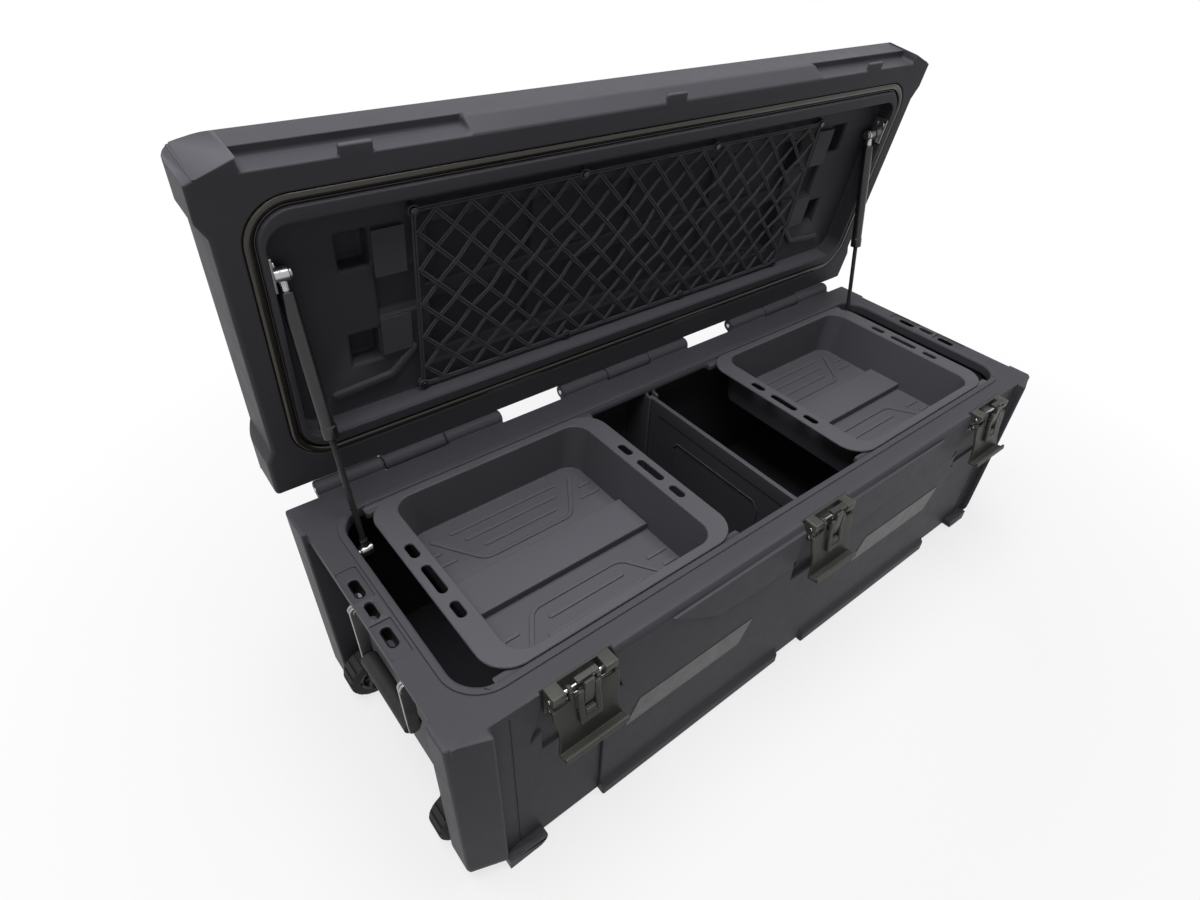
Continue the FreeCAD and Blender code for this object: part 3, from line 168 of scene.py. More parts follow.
SHELL = (0.042, 0.0412, 0.0475)
TRAY = (0.062, 0.061, 0.069)
LATCH = (0.034, 0.034, 0.0305)
# Each lighter edge colour below is a painted highlight on sharp edges.
LOOKS = {
    "shell_plastic": dict(
        colour=SHELL, roughness=0.46, spread=0.03, rough_spread=0.03, edge_highlight=shade(SHELL, 1.6), specular=0.06,
    ),
    # Near-black painted shade for the collars inside the tie-down slots.
    "slot_painted_shade": dict(colour=(0.004, 0.004, 0.0045), roughness=0.8, specular=0.03),
    "tray_plastic": dict(
        colour=TRAY, roughness=0.46, spread=0.03, rough_spread=0.03, edge_highlight=shade(TRAY, 1.25), specular=0.06,
    ),
    "label_film": dict(
        colour=(0.040, 0.040, 0.040), roughness=0.45, speckle=(1400.0, (0.09, 0.09, 0.088)), depth=0.25,
    ),
    "latch_plastic": dict(
        colour=LATCH, roughness=0.34, edge_highlight=shade(LATCH, 2.0), grain=450.0, depth=0.06, specular=0.1,
    ),
    "gasket_rubber": dict(
        colour=(0.016, 0.0135, 0.0085), roughness=0.22, grain=300.0, depth=0.04, specular=0.45,
    ),
    "net_cord": dict(colour=(0.030, 0.030, 0.034), roughness=0.6, grain=1500.0, depth=0.6, specular=0.3),
    "strut_black": dict(colour=(0.008, 0.008, 0.009), roughness=0.2, depth=0.02, specular=0.5),
    "rod_steel": dict(colour=(0.022, 0.022, 0.022), roughness=0.28, depth=0.02, specular=0.2),
    "steel": dict(colour=(0.42, 0.42, 0.43), roughness=0.3, metallic=1.0, spread=0.06, depth=0.03),
    "zinc": dict(
        colour=(0.30, 0.30, 0.295), roughness=0.36, metallic=1.0, spread=0.14, cloud=60.0, depth=0.06,
    ),
    "grip_rubber": dict(colour=(0.018, 0.018, 0.019), roughness=0.62, grain=900.0, depth=0.2, specular=0.3),
    "tyre": dict(
        colour=(0.014, 0.014, 0.015), roughness=0.7, spread=0.2, grain=500.0, depth=0.3, specular=0.3,
    ),
    "hub_plastic": dict(
        colour=(0.026, 0.026, 0.028), roughness=0.45, edge_highlight=(0.06, 0.06, 0.062), specular=0.3,
    ),
}
MATERIALS = {name: surface(name, **look) for name, look in LOOKS.items()}


# Pieces

CREASE = 40  # degrees; edges that turn by more stay crisp
ONE_FLAT = math.radians(1.5)  # faces that turn by less belong to one flat
BROAD = 12 * MM  # the mean width from which a flat gets one normal all over


def add_piece(name, mesh, body, slot, replaces=(), look=None):
    """A piece on a body, with its slot's material or another look, in place of the nodes that it replaces."""
    piece = bpy.data.objects.new(name, mesh)
    bpy.context.scene.collection.objects.link(piece)
    mesh.materials.clear()
    mesh.materials.append(MATERIALS[look or slot])
    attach(piece, body)
    if replaces:
        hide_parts(*replaces)
    return piece


def finish_mesh(piece, crease=CREASE):
    """Smooth faces with crisp edges above the crease angle, and normals that keep flat faces flat."""
    piece.data.shade_smooth()
    piece.data.set_sharp_from_angle(angle=math.radians(crease))
    weighted = piece.modifiers.new("even_normals", "WEIGHTED_NORMAL")
    weighted.keep_sharp = True


def softened(piece, width, segments=3, angle=30):
    """Rounds a piece's edges that turn by more than an angle in degrees, and finishes it."""
    bevel = piece.modifiers.new("rounding", "BEVEL")
    bevel.width = width * MM
    bevel.segments = segments
    bevel.limit_method = "ANGLE"
    bevel.angle_limit = math.radians(angle)
    finish_mesh(piece)


def flat_regions(mesh):
    """Lists of neighbouring faces that lie in about one plane."""
    work = bmesh.new()
    work.from_mesh(mesh)
    seen = set()
    regions = []
    for face in work.faces:
        if face in seen:
            continue
        seen.add(face)
        region = [face]
        for here in region:
            for edge in here.edges:
                for other in edge.link_faces:
                    if other not in seen and other.normal.angle(face.normal, 1) < ONE_FLAT:
                        seen.add(other)
                        region.append(other)
        regions.append([each.index for each in region])
    work.free()
    return regions


def keep_flats(piece):
    """Gives broad flats one normal all over. Narrow faces, as on roundings, keep their smooth normals."""
    even = piece.evaluated_get(bpy.context.evaluated_depsgraph_get()).data
    normals = [corner.vector.copy() for corner in even.corner_normals]
    points = piece.data.vertices
    for region in flat_regions(piece.data):
        faces = [piece.data.polygons[index] for index in region]
        corners = [points[index].co for face in faces for index in face.vertices]
        longest = max((corner - corners[0]).length for corner in corners)
        if sum(face.area for face in faces) > BROAD * longest:
            normal = sum((face.normal * face.area for face in faces), Vector()).normalized()
            for face in faces:
                for loop in face.loop_indices:
                    normals[loop] = normal
    piece.modifiers.clear()
    piece.data.normals_split_custom_set(normals)


# Copies of the solids with rounded edges, worked out in metres

WELD = 1e-6  # points that lie closer are one point
ONE_PLANE = math.radians(0.5)  # faces that turn by less are joined
SHARP = math.radians(28)  # edges that turn by this or more are rounded
ACROSS = 0.5  # the sine from which an edge runs across another
AHEAD = 0.6  # the cosine from which a spot lies ahead of an edge
LEVEL = 2e-5  # how far a spot may lie off a plane
ROOM_SHARE = 0.45  # the share of the room beside an edge that its rounding takes
LOOK_AHEAD = 2.3  # how far to look for another edge, in radii
SPOT_SPACING = 0.8 * MM  # between the spots on an edge, unless half a radius is more
SEGMENTS = 3
ROUNDS = 8  # tries to round a node, of which the first ones halve what goes wrong
HALVINGS = 3
STRAY = 0.5  # how far a rounding may lie from the surface, in radii
LARGE_FACE = 1e-6  # square metres; smaller faces are let go
INSIDE_OUT = -0.3  # the cosine to the surface below which a face is turned over
NEAR_CORNER = 6  # how far a turned face may lie from the corner it comes from, in stray reaches
FILLET_REACH = 1.45  # how far a fillet reaches from its edge, in its widths
ON_SURFACE = 1e-5
BEHIND = -0.5  # the cosine below which a point lies within the solid
# The roundings' radii, in millimetres again; a node that isn't named has the small one.
SMALL_RADIUS = 0.8
RADII = {
    "base_tub": 4.0, "lid_shell": 5.0, "lid_liner": 5.0, "divider": 1.8, "tray_left": 2.4, "tray_right": 2.4,
    "latch_mount_left": 2.2, "latch_mount_middle": 2.2, "latch_mount_right": 2.2,
    "latch_lever_left": 1.2, "latch_lever_middle": 1.2, "latch_lever_right": 1.2,
}


def flat_side(vertex, first, second, normal):
    """Whether joining two faces leaves no hollow corner at a vertex."""
    before = [edge for edge in first.edges if vertex in edge.verts and edge not in second.edges]
    after = [edge for edge in second.edges if vertex in edge.verts and edge not in first.edges]
    if len(before) != 1 or len(after) != 1:
        return False
    one = before[0].other_vert(vertex).co - vertex.co
    two = after[0].other_vert(vertex).co - vertex.co
    turn = one.cross(two).dot(normal)
    shared = [edge for edge in first.edges if edge in second.edges][0]
    middle = shared.other_vert(vertex).co - vertex.co
    return turn * one.cross(middle).dot(normal) >= 0 and turn * middle.cross(two).dot(normal) >= 0


def join_flat_faces(work):
    """Joins neighbouring faces that lie in one plane as long as the joined face stays convex."""
    for edge in sorted(work.edges, key=lambda each: -each.calc_length()):
        if not edge.is_valid or len(edge.link_faces) != 2 or edge.calc_face_angle(1) > ONE_PLANE:
            continue
        first, second = edge.link_faces
        if sum(other in second.edges for other in first.edges) != 1:
            continue
        if all(flat_side(vertex, first, second, first.normal) for vertex in edge.verts):
            bmesh.utils.face_join((first, second), True)


def welded(node):
    """A node's mesh with its split corners joined and its flat faces merged."""
    work = bmesh.new()
    work.from_mesh(NODES[node].data)
    bmesh.ops.remove_doubles(work, verts=work.verts, dist=WELD)
    join_flat_faces(work)
    work.verts.index_update()
    work.verts.ensure_lookup_table()
    work.edges.index_update()
    return work


def edge_room(edge, vertex, face):
    """How far a rounding may reach from an edge's end along the face beside it, if anything stops it."""
    along = (edge.other_vert(vertex).co - vertex.co).normalized()
    for other in vertex.link_edges:
        if other is edge or face not in other.link_faces:
            continue
        way = other.other_vert(vertex).co - vertex.co
        across = (way - along * way.dot(along)).length
        if across > ACROSS * way.length:
            return across
    return None


def spots_along(edge, spacing):
    """Evenly spaced spots on an edge."""
    first, second = (vertex.co for vertex in edge.verts)
    count = max(2, math.ceil((second - first).length / spacing))
    return [first.lerp(second, (step + 0.5) / count) for step in range(count)]


def width_beside(edge, face, spots, tree, owners, reach):
    """How far the flat beside an edge goes before another sharp edge, looking no farther than a reach."""
    first, second = edge.verts
    across = face.normal.cross((second.co - first.co).normalized())
    if across.dot(face.calc_center_median() - first.co) < 0:
        across.negate()
    width = reach
    for spot in spots:
        for place, index, distance in tree.find_range(spot, width):
            other = owners[index]
            way = place - spot
            if way.dot(across) > AHEAD * distance and abs(way.dot(face.normal)) < LEVEL:
                if other is not edge and first not in other.verts and second not in other.verts:
                    width = min(width, distance)
    return width


def bevel_weights(work, radius):
    """The share of the radius that each sharp edge has room for."""
    sharp = [edge for edge in work.edges if edge.calc_face_angle(0) >= SHARP]
    spacing = max(SPOT_SPACING, 0.5 * radius)
    spots = {edge.index: spots_along(edge, spacing) for edge in sharp}
    owners = [edge for edge in sharp for _ in spots[edge.index]]
    tree = KDTree(len(owners))
    for index, spot in enumerate(spot for edge in sharp for spot in spots[edge.index]):
        tree.insert(spot, index)
    tree.balance()
    shares = {}
    for edge in sharp:
        room = radius
        for face in edge.link_faces:
            width = width_beside(edge, face, spots[edge.index], tree, owners, LOOK_AHEAD * radius)
            room = min(room, ROOM_SHARE * width)
            for vertex in edge.verts:
                space = edge_room(edge, vertex, face)
                if space is not None:
                    room = min(room, ROOM_SHARE * space)
        shares[edge.index] = room / radius
    return shares


def bevelled(work, shares, radius):
    """The mesh with its edges rounded, each by its share of the radius."""
    layers = work.edges.layers.float
    weights = layers.get("bevel_weight_edge") or layers.new("bevel_weight_edge")
    for edge in work.edges:
        edge[weights] = shares.get(edge.index, 0)
    mesh = bpy.data.meshes.new("rounding")
    work.to_mesh(mesh)
    holder = bpy.data.objects.new("rounding", mesh)
    bpy.context.scene.collection.objects.link(holder)
    bevel = holder.modifiers.new("rounding", "BEVEL")
    bevel.width = radius
    bevel.segments = SEGMENTS
    bevel.limit_method = "WEIGHT"
    bevel.use_clamp_overlap = False
    bevel.loop_slide = False
    made = bpy.data.meshes.new_from_object(holder.evaluated_get(bpy.context.evaluated_depsgraph_get()))
    bpy.data.objects.remove(holder)
    bpy.data.meshes.remove(mesh)
    return made


def wild_corners(mesh, tree, corners, reach):
    """The corners of the original mesh whose rounding shoots past its surface or turns inside out."""
    far = set()
    for vertex in mesh.vertices:
        if tree.find_nearest(vertex.co, reach)[0] is None:
            far.add(vertex.index)
    found = set()
    for edge in mesh.edges:
        outside = [index for index in edge.vertices if index in far]
        if len(outside) == 1:
            inside = [index for index in edge.vertices if index not in far][0]
            found.add(corners.find(mesh.vertices[inside].co)[1])
    for face in mesh.polygons:
        if face.area > LARGE_FACE and tree.find_nearest(face.center)[1].dot(face.normal) < INSIDE_OUT:
            _, corner, distance = corners.find(face.center)
            if distance < NEAR_CORNER * reach:
                found.add(corner)
            else:
                found.update(corners.find(mesh.vertices[index].co)[1] for index in face.vertices)
    return found


def pull_back(mesh, work, tree, shares, radius):
    """Puts points of a rounding that stand out of the original shape back on it, apart from its fillets."""
    hollows = []
    for edge in work.edges:
        width = shares.get(edge.index, 0) * radius
        if width > 0 and not edge.is_convex:
            first, second = edge.verts
            hollows.append((first.co.copy(), second.co - first.co, FILLET_REACH * width))
    for vertex in mesh.vertices:
        nearest, normal, _, distance = tree.find_nearest(vertex.co)
        if distance < ON_SURFACE or (vertex.co - nearest).dot(normal) < BEHIND * distance:
            continue
        for start, run, reach in hollows:
            share = (vertex.co - start).dot(run) / run.length_squared
            if (start + run * min(max(share, 0), 1) - vertex.co).length < reach:
                break
        else:
            vertex.co = nearest


def rounded_copy(node, radius):
    """A node's mesh with rounded edges. A rounding that goes wrong is made smaller, then left out."""
    work = welded(node)
    tree = BVHTree.FromBMesh(work)
    corners = KDTree(len(work.verts))
    for vertex in work.verts:
        corners.insert(vertex.co, vertex.index)
    corners.balance()
    shares = bevel_weights(work, radius)
    for attempt in range(ROUNDS):
        mesh = bevelled(work, shares, radius)
        wild = wild_corners(mesh, tree, corners, STRAY * radius)
        if not wild or attempt == ROUNDS - 1:
            break
        for index in wild:
            for edge in work.verts[index].link_edges:
                if edge.index in shares:
                    shares[edge.index] = 0.5 * shares[edge.index] if attempt < HALVINGS else 0
        bpy.data.meshes.remove(mesh)
    pull_back(mesh, work, tree, shares, radius)
    low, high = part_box(node)
    for vertex in mesh.vertices:
        vertex.co = [min(max(part, least), most) for part, least, most in zip(vertex.co, low, high)]
    work.free()
    return mesh


def refined(node):
    """A rounded copy of a node as a piece in its place."""
    mesh = rounded_copy(node, RADII.get(node, SMALL_RADIUS) * MM)
    mesh.name = f"{node}_finish"
    piece = add_piece(f"{node}_finish", mesh, BODY_OF[node], SLOT_OF[node], [node])
    finish_mesh(piece)
    keep_flats(piece)


# Drawing

BEND_SHARE = 0.45  # the most of a run that the bend at its end takes
RIB_STEPS = 8  # faces across a rib
RIB_POWER = 0.5  # 1 makes a rib half round, less makes its sides steeper
DOME_STEPS = 3
DOME_TIP = 0.08  # the size of a rib at its very end
UP = Vector((0, 0, 1))


def loft(work, rings, closed=True, capped=True):
    """Quads between neighbouring closed rings of points. An open row of rings gets end caps."""
    rows = [[work.verts.new(point) for point in ring] for ring in rings]
    count = len(rings[0])
    pairs = list(zip(rows, rows[1:]))
    if closed:
        pairs.append((rows[-1], rows[0]))
    for first, second in pairs:
        for index in range(count):
            after = (index + 1) % count
            work.faces.new((first[index], first[after], second[after], second[index]))
    if capped and not closed:
        work.faces.new(reversed(rows[0]))
        work.faces.new(rows[-1])


def made_mesh(name, work, place=Matrix.Identity(4)):
    """The finished mesh of a shape drawn in millimetres, moved to its place in metres."""
    bmesh.ops.recalc_face_normals(work, faces=work.faces)
    mesh = bpy.data.meshes.new(name)
    work.to_mesh(mesh)
    work.free()
    mesh.transform(place @ Matrix.Scale(MM, 4))
    return mesh


def around(count, shift=0.0):
    """Angles spread evenly over a full turn."""
    return [2 * math.pi * (step + shift) / count for step in range(count)]


def filleted(points, radius, steps=6):
    """A flat path with its inner corners rounded."""
    made = [Vector(points[0])]
    for before, corner, after in zip(points, points[1:], points[2:]):
        before, corner, after = Vector(before), Vector(corner), Vector(after)
        first, second = (before - corner).normalized(), (after - corner).normalized()
        turn = math.acos(max(-1, min(1, first.dot(second))))
        room = BEND_SHARE * min((before - corner).length, (after - corner).length)
        reach = min(radius / math.tan(turn / 2), room)
        start, end = corner + first * reach, corner + second * reach
        for step in range(steps + 1):
            share = step / steps
            made.append((1 - share) ** 2 * start + 2 * share * (1 - share) * corner + share ** 2 * end)
    made.append(Vector(points[-1]))
    return made


def ridge(work, path, width, height, base, place):
    """A steep-sided rib with domed ends along a flat path; place sets a path point at a height in space."""
    profile = []
    for step in range(RIB_STEPS + 1):
        angle = math.pi * step / RIB_STEPS
        across = math.copysign(abs(math.cos(angle)) ** RIB_POWER, math.cos(angle))
        profile.append((across, math.sin(angle) ** RIB_POWER))
    leans = [math.pi / 2 * step / DOME_STEPS for step in range(DOME_STEPS)]
    dome = [(math.cos(lean), max(DOME_TIP, math.sin(lean))) for lean in leans]
    first_way, last_way = (path[1] - path[0]).normalized(), (path[-1] - path[-2]).normalized()
    spots = [(path[0] - first_way * width / 2 * reach, first_way, size) for reach, size in dome]
    for index, point in enumerate(path):
        way = path[min(index + 1, len(path) - 1)] - path[max(index - 1, 0)]
        spots.append((point, way.normalized(), 1))
    spots += [(path[-1] + last_way * width / 2 * reach, last_way, size) for reach, size in reversed(dome)]
    rings = []
    for point, way, size in spots:
        side = Vector((-way.y, way.x))
        rings.append([
            place(point + side * (width / 2 * size * across), base + height * size * rise)
            for across, rise in profile
        ])
    loft(work, rings, closed=False)


def tube(work, path, radius, closed=False, sides=10, flat=1.0):
    """A round cord or bead along a path in space, pressed flat where that is below 1."""
    rings = []
    count = len(path)
    for index, point in enumerate(path):
        if closed:
            way = path[(index + 1) % count] - path[index - 1]
        else:
            way = path[min(index + 1, count - 1)] - path[max(index - 1, 0)]
        way.normalize()
        side = way.cross(UP).normalized()
        top = side.cross(way)
        rings.append([
            point + side * (radius * math.cos(turn)) + top * (radius * flat * math.sin(turn))
            for turn in around(sides)
        ])
    loft(work, rings, closed=closed)


def round_rectangle(half_x, half_y, radius, steps=10):
    """Points of a rounded rectangle, the same number for any size."""
    made = []
    for quarter, (sign_x, sign_y) in enumerate(((1, 1), (-1, 1), (-1, -1), (1, -1))):
        for step in range(steps + 1):
            angle = math.pi / 2 * (quarter + step / steps)
            made.append(Vector((
                sign_x * (half_x - radius) + radius * math.cos(angle),
                sign_y * (half_y - radius) + radius * math.sin(angle),
            )))
    return made


def slab(work, x, y, z, slope):
    """A box whose last level is smaller all round by a slope, or larger where the slope is below zero."""
    rings = []
    for inset, level in ((0, z[0]), (0, z[1] - slope), (slope, z[1])):
        rings.append([
            Vector((x[0] + inset, y[0] + inset, level)), Vector((x[1] - inset, y[0] + inset, level)),
            Vector((x[1] - inset, y[1] - inset, level)), Vector((x[0] + inset, y[1] - inset, level)),
        ])
    loft(work, rings, closed=False)


# Rim

SLOT_X, SLOT_PITCH, SLOT_LENGTH, SLOT_WIDTH = 579.0, 44.0, 30.0, 11.0
SLOT_POINTS = 24
SLEEVE_TOP, SLEEVE_LOW = 321.5, 299.0
SLEEVE_OUTER, SLEEVE_INNER = 1.4, -0.3  # how much wider than the slot


def slot_outline(x, y, grow, level):
    """A slot's outline with round ends, its long side along Y."""
    radius = SLOT_WIDTH / 2 + grow
    reach = (SLOT_LENGTH - SLOT_WIDTH) / 2
    made = []
    for angle in around(SLOT_POINTS, 0.5):
        shift = reach if math.sin(angle) > 0 else -reach
        made.append(Vector((x + radius * math.cos(angle), y + shift + radius * math.sin(angle), level)))
    return made


def rim_sleeves():
    """A thin collar below each tie-down slot of the rim, near-black as painted shade inside the slot."""
    ways = (
        (SLEEVE_OUTER, SLEEVE_TOP), (SLEEVE_OUTER, SLEEVE_LOW),
        (SLEEVE_INNER, SLEEVE_LOW), (SLEEVE_INNER, SLEEVE_TOP),
    )
    work = bmesh.new()
    for side in (1, -1):
        for index in (-1, 0, 1):
            x, y = side * SLOT_X, index * SLOT_PITCH
            loft(work, [slot_outline(x, y, grow, level) for grow, level in ways])
    mesh = made_mesh("sleeves", work)
    # The collars take the near-black painted shade, not the shell's colour.
    piece = add_piece("rim_sleeves", mesh, "base", "shell_plastic", look="slot_painted_shade")
    finish_mesh(piece)


# Lift-out trays

TRAY_MIDDLE, TRAY_FLOOR = 324.0, 247.0
TRAY_OUTLINE = [(-121, 128), (-74, 57), (74, 57), (121, 128)]
TRAY_BEND = 26
TRAY_BARS = [((-90, 127), (90, 127)), ((-77, 105), (77, 105)), ((-60, 81), (60, 81))]
TRAY_ENDS = [((110, 79), (141, 79)), ((122, 102), (141, 102))]
# Width, height and level of each kind of rib. Their feet lie a little below the floor.
RIB_FOOT = TRAY_FLOOR - 0.3
OUTLINE_RIB = (7.0, 3.0, RIB_FOOT)
BAR_RIB = (6.4, 2.8, RIB_FOOT)
END_RIB = (6.0, 2.8, RIB_FOOT)
RIB_CREASE = 60  # degrees, for every rib and raised line


def tray_ribs(side, name):
    """The raised lines moulded in a tray's floor, the same on both sides of its step."""
    work = bmesh.new()
    for turn in (1, -1):
        def place(point, height):
            return Vector((side * TRAY_MIDDLE + turn * point.x, turn * point.y, height))

        ridge(work, filleted(TRAY_OUTLINE, TRAY_BEND), *OUTLINE_RIB, place)
        for bar in TRAY_BARS:
            ridge(work, [Vector(end) for end in bar], *BAR_RIB, place)
        for mirror in (1, -1):
            for run in TRAY_ENDS:
                ridge(work, [Vector((mirror * x, y)) for x, y in run], *END_RIB, place)
    piece = add_piece(f"tray_{name}_ribs", made_mesh("ribs", work), f"tray_{name}", "tray_plastic")
    finish_mesh(piece, RIB_CREASE)


# Lid: gasket, frame, liner and net

LID_LOW = 329.0
GASKET_LOOP = (557, 175, 47)  # half sizes and corner radius
# Outward shift, radius, flatness and depth of the wide tube and of the thin lip.
GASKET_TUBES = ((1.7, 5.0, 0.78, 3.2), (-5.6, 1.1, 1.0, 4.2))
GASKET_SIDES = 16
GASKET_CREASE = 70
FRAME_OUTER, FRAME_INNER = (549.5, 167, 40), (543, 150, 28)  # half sizes and corner radius
# The share of the way from the outer to the inner outline, and the level there.
FRAME_PROFILE = (
    (0, 0.6), (0, -0.7), (0.04, -1.2), (0.12, -1.5), (0.8, -1.5), (0.92, -1.2), (1, -0.3), (1, 2.0),
)
LINER_PANEL = 359.0
LINER_BEND = [(-492, 116), (-412, 109), (-379, 74)]
LINER_BEND_RADIUS = 14
LINER_RIDGE = (11, -6, LINER_PANEL + 0.3)  # width, height and level
PLATE_X = (-421, -383)
PLATE_ROWS = ((-106, -47), (17, 70))
PLATE_LEVELS = (LINER_PANEL + 1, LINER_PANEL - 6)
PLATE_SLOPE = -2.5
PLATE_ROUNDING = 1.6


def lid_gasket():
    """A wide rubber tube and a thin lip beside it in the lid's groove."""
    work = bmesh.new()
    for shift, radius, flat, depth in GASKET_TUBES:
        loop = round_rectangle(*(size + shift for size in GASKET_LOOP))
        path = [Vector((point.x, point.y, LID_LOW + depth)) for point in loop]
        tube(work, path, radius, closed=True, sides=GASKET_SIDES, flat=flat)
    mesh = made_mesh("gasket", work, LID_OPEN)
    piece = add_piece("lid_gasket_tubes", mesh, "lid", "gasket_rubber", ["lid_gasket"])
    finish_mesh(piece, GASKET_CREASE)


def lid_frame():
    """The raised frame between the gasket and the liner's drop."""
    outer, inner = round_rectangle(*FRAME_OUTER), round_rectangle(*FRAME_INNER)
    rings = []
    for share, level in FRAME_PROFILE:
        rings.append([
            Vector((a.x + share * (b.x - a.x), a.y + share * (b.y - a.y), LID_LOW + level))
            for a, b in zip(outer, inner)
        ])
    work = bmesh.new()
    loft(work, rings, closed=False, capped=False)
    piece = add_piece("lid_frame", made_mesh("frame", work, LID_OPEN), "lid", "shell_plastic")
    finish_mesh(piece, RIB_CREASE)


def liner_details():
    """Raised plates beside the end pockets and bent ridges near the hinge side."""
    ridges = bmesh.new()
    plates = bmesh.new()
    for mirror in (1, -1):
        def place(point, height):
            return Vector((mirror * point.x, point.y, height))

        ridge(ridges, filleted(LINER_BEND, LINER_BEND_RADIUS), *LINER_RIDGE, place)
        for row in PLATE_ROWS:
            slab(plates, sorted(mirror * x for x in PLATE_X), row, PLATE_LEVELS, PLATE_SLOPE)
    piece = add_piece("liner_ridges", made_mesh("ridges", ridges, LID_OPEN), "lid", "shell_plastic")
    finish_mesh(piece, RIB_CREASE)
    piece = add_piece("liner_plates", made_mesh("plates", plates, LID_OPEN), "lid", "shell_plastic")
    softened(piece, PLATE_ROUNDING)


NET_LEVEL = 350.5
NET_SHIFT = 8.0
NET_HALF_X, NET_HALF_Y, NET_BORDER = 375.0, 136.0, 8.0
NET_COLUMNS, NET_ROWS = 15, 5
NET_CREASE = 80
NET_SWAY, NET_RIPPLE, NET_SAG = 2.4, 1.2, 3.0  # long and short waves along the net, and its slack
NET_SWAY_X = 0.7  # the share of the sway that goes along X
NET_FLATNESS = 4  # a higher power carries the slack nearer to the border
CORD_RADIUS = 1.6
CORD_SIDES = 6
CORD_OFFSETS = (-1.7, 1.7)  # of the two cords of a pair from their middle
CORD_STEPS = 4  # from one crossing to the next
CORD_WEAVE = 0.9
BORDER_INSETS = (2.2, 5.6)
BORDER_CORNER = 9
BORDER_SIDES = 8
EYELET_X, EYELET_Y = (-371, -123.7, 123.7, 371), (-132, 132)
EYELET_RADIUS, EYELET_CORD, EYELET_LIFT = 6.2, 1.5, -0.6
EYELET_POINTS = 20


def net_place(x, y, lift):
    """A spot of the net, pulled a little out of true by uneven waves away from its border."""
    share_x, share_y = abs(x) / NET_HALF_X, abs(y) / NET_HALF_Y
    loose = (1 - share_x ** NET_FLATNESS) * (1 - share_y ** NET_FLATNESS)
    sway = NET_SWAY * math.sin(0.021 * x + 1.3) * math.cos(0.037 * y)
    sway += NET_RIPPLE * math.sin(0.067 * x - 0.05 * y)
    sag = NET_SAG * math.sin(0.013 * x + 0.6) ** 2 * loose
    return Vector((x + loose * NET_SWAY_X * sway, y + loose * sway + NET_SHIFT, NET_LEVEL + lift + sag))


def net_strand(work, start, end, crossings, phase, offset):
    """One cord of a pair from border to border, over and under those it crosses."""
    start, end = Vector(start), Vector(end)
    way = (end - start).normalized()
    side = Vector((-way.y, way.x)) * offset
    steps = CORD_STEPS * crossings
    path = []
    for step in range(steps + 1):
        share = step / steps
        x, y = start.lerp(end, share) + side
        lift = CORD_WEAVE * math.cos(math.pi * (crossings * share + phase))
        path.append(net_place(x, y, lift))
    tube(work, path, CORD_RADIUS, sides=CORD_SIDES)


def cargo_net():
    """A diamond net of doubled cords in a doubled border cord with an eyelet at each screw."""
    work = bmesh.new()
    unit_x = (NET_HALF_X - NET_BORDER) / NET_COLUMNS
    unit_y = (NET_HALF_Y - NET_BORDER) / NET_ROWS
    for slope in (1, -1):
        for number in range(1 - NET_COLUMNS - NET_ROWS, NET_COLUMNS + NET_ROWS, 2):
            low, high = max(-NET_COLUMNS, number - NET_ROWS), min(NET_COLUMNS, number + NET_ROWS)
            start = (low * unit_x, slope * (number - low) * unit_y)
            end = (high * unit_x, slope * (number - high) * unit_y)
            for offset in CORD_OFFSETS:
                net_strand(work, start, end, high - low, (slope + 1) / 2, offset)
    for inset in BORDER_INSETS:
        loop = round_rectangle(NET_HALF_X - inset, NET_HALF_Y - inset, BORDER_CORNER)
        border = [Vector((point.x, point.y + NET_SHIFT, NET_LEVEL)) for point in loop]
        tube(work, border, CORD_RADIUS, closed=True, sides=BORDER_SIDES)
    for x in EYELET_X:
        for y in EYELET_Y:
            middle = Vector((x, y + NET_SHIFT, NET_LEVEL + EYELET_LIFT))
            ring = [
                middle + EYELET_RADIUS * Vector((math.cos(turn), math.sin(turn), 0))
                for turn in around(EYELET_POINTS)
            ]
            tube(work, ring, EYELET_CORD, closed=True, sides=BORDER_SIDES)
    mesh = made_mesh("cords", work, LID_OPEN)
    piece = add_piece("cargo_net_cords", mesh, "lid", "net_cord", ["cargo_net"])
    finish_mesh(piece, NET_CREASE)


# Divider

EMBOSS_CORNERS = [
    (-66, 238), (-56, 250), (120, 250), (130, 238), (130, 70), (120, 58), (-56, 58), (-66, 70), (-66, 238),
]
EMBOSS_BEND = 6
EMBOSS_LINE = (3.0, 0.9, 3.9)  # width, height and level
EMBOSS_SHIFT = 32


def divider_emboss():
    """A raised line round the panel on each face of the divider."""
    work = bmesh.new()
    for side in (1, -1):
        def place(point, height):
            return Vector((side * height, side * point.x - EMBOSS_SHIFT * side, point.y))

        ridge(work, filleted(EMBOSS_CORNERS, EMBOSS_BEND), *EMBOSS_LINE, place)
    piece = add_piece("divider_emboss", made_mesh("emboss", work), "divider", "shell_plastic")
    finish_mesh(piece, RIB_CREASE)


# Latches

LATCH_PLACES = {"left": -437.0, "middle": 0.0, "right": 437.0}
LATCH_PIN = Vector((0, -219.1, 302.0))
LATCH_TILT = math.radians(10)
FLAP_HALF, FLAP_SLOT = 15.6, 7.3
FLAP_LEVELS = (-37.0, -26.6, 0.0, 19.0)
FLAP_BACK, FLAP_FRONT_LOW, FLAP_FRONT_HIGH = 9.6, 14.5, 14.0  # out from the pin
FLAP_RISE = 2  # of the upright part
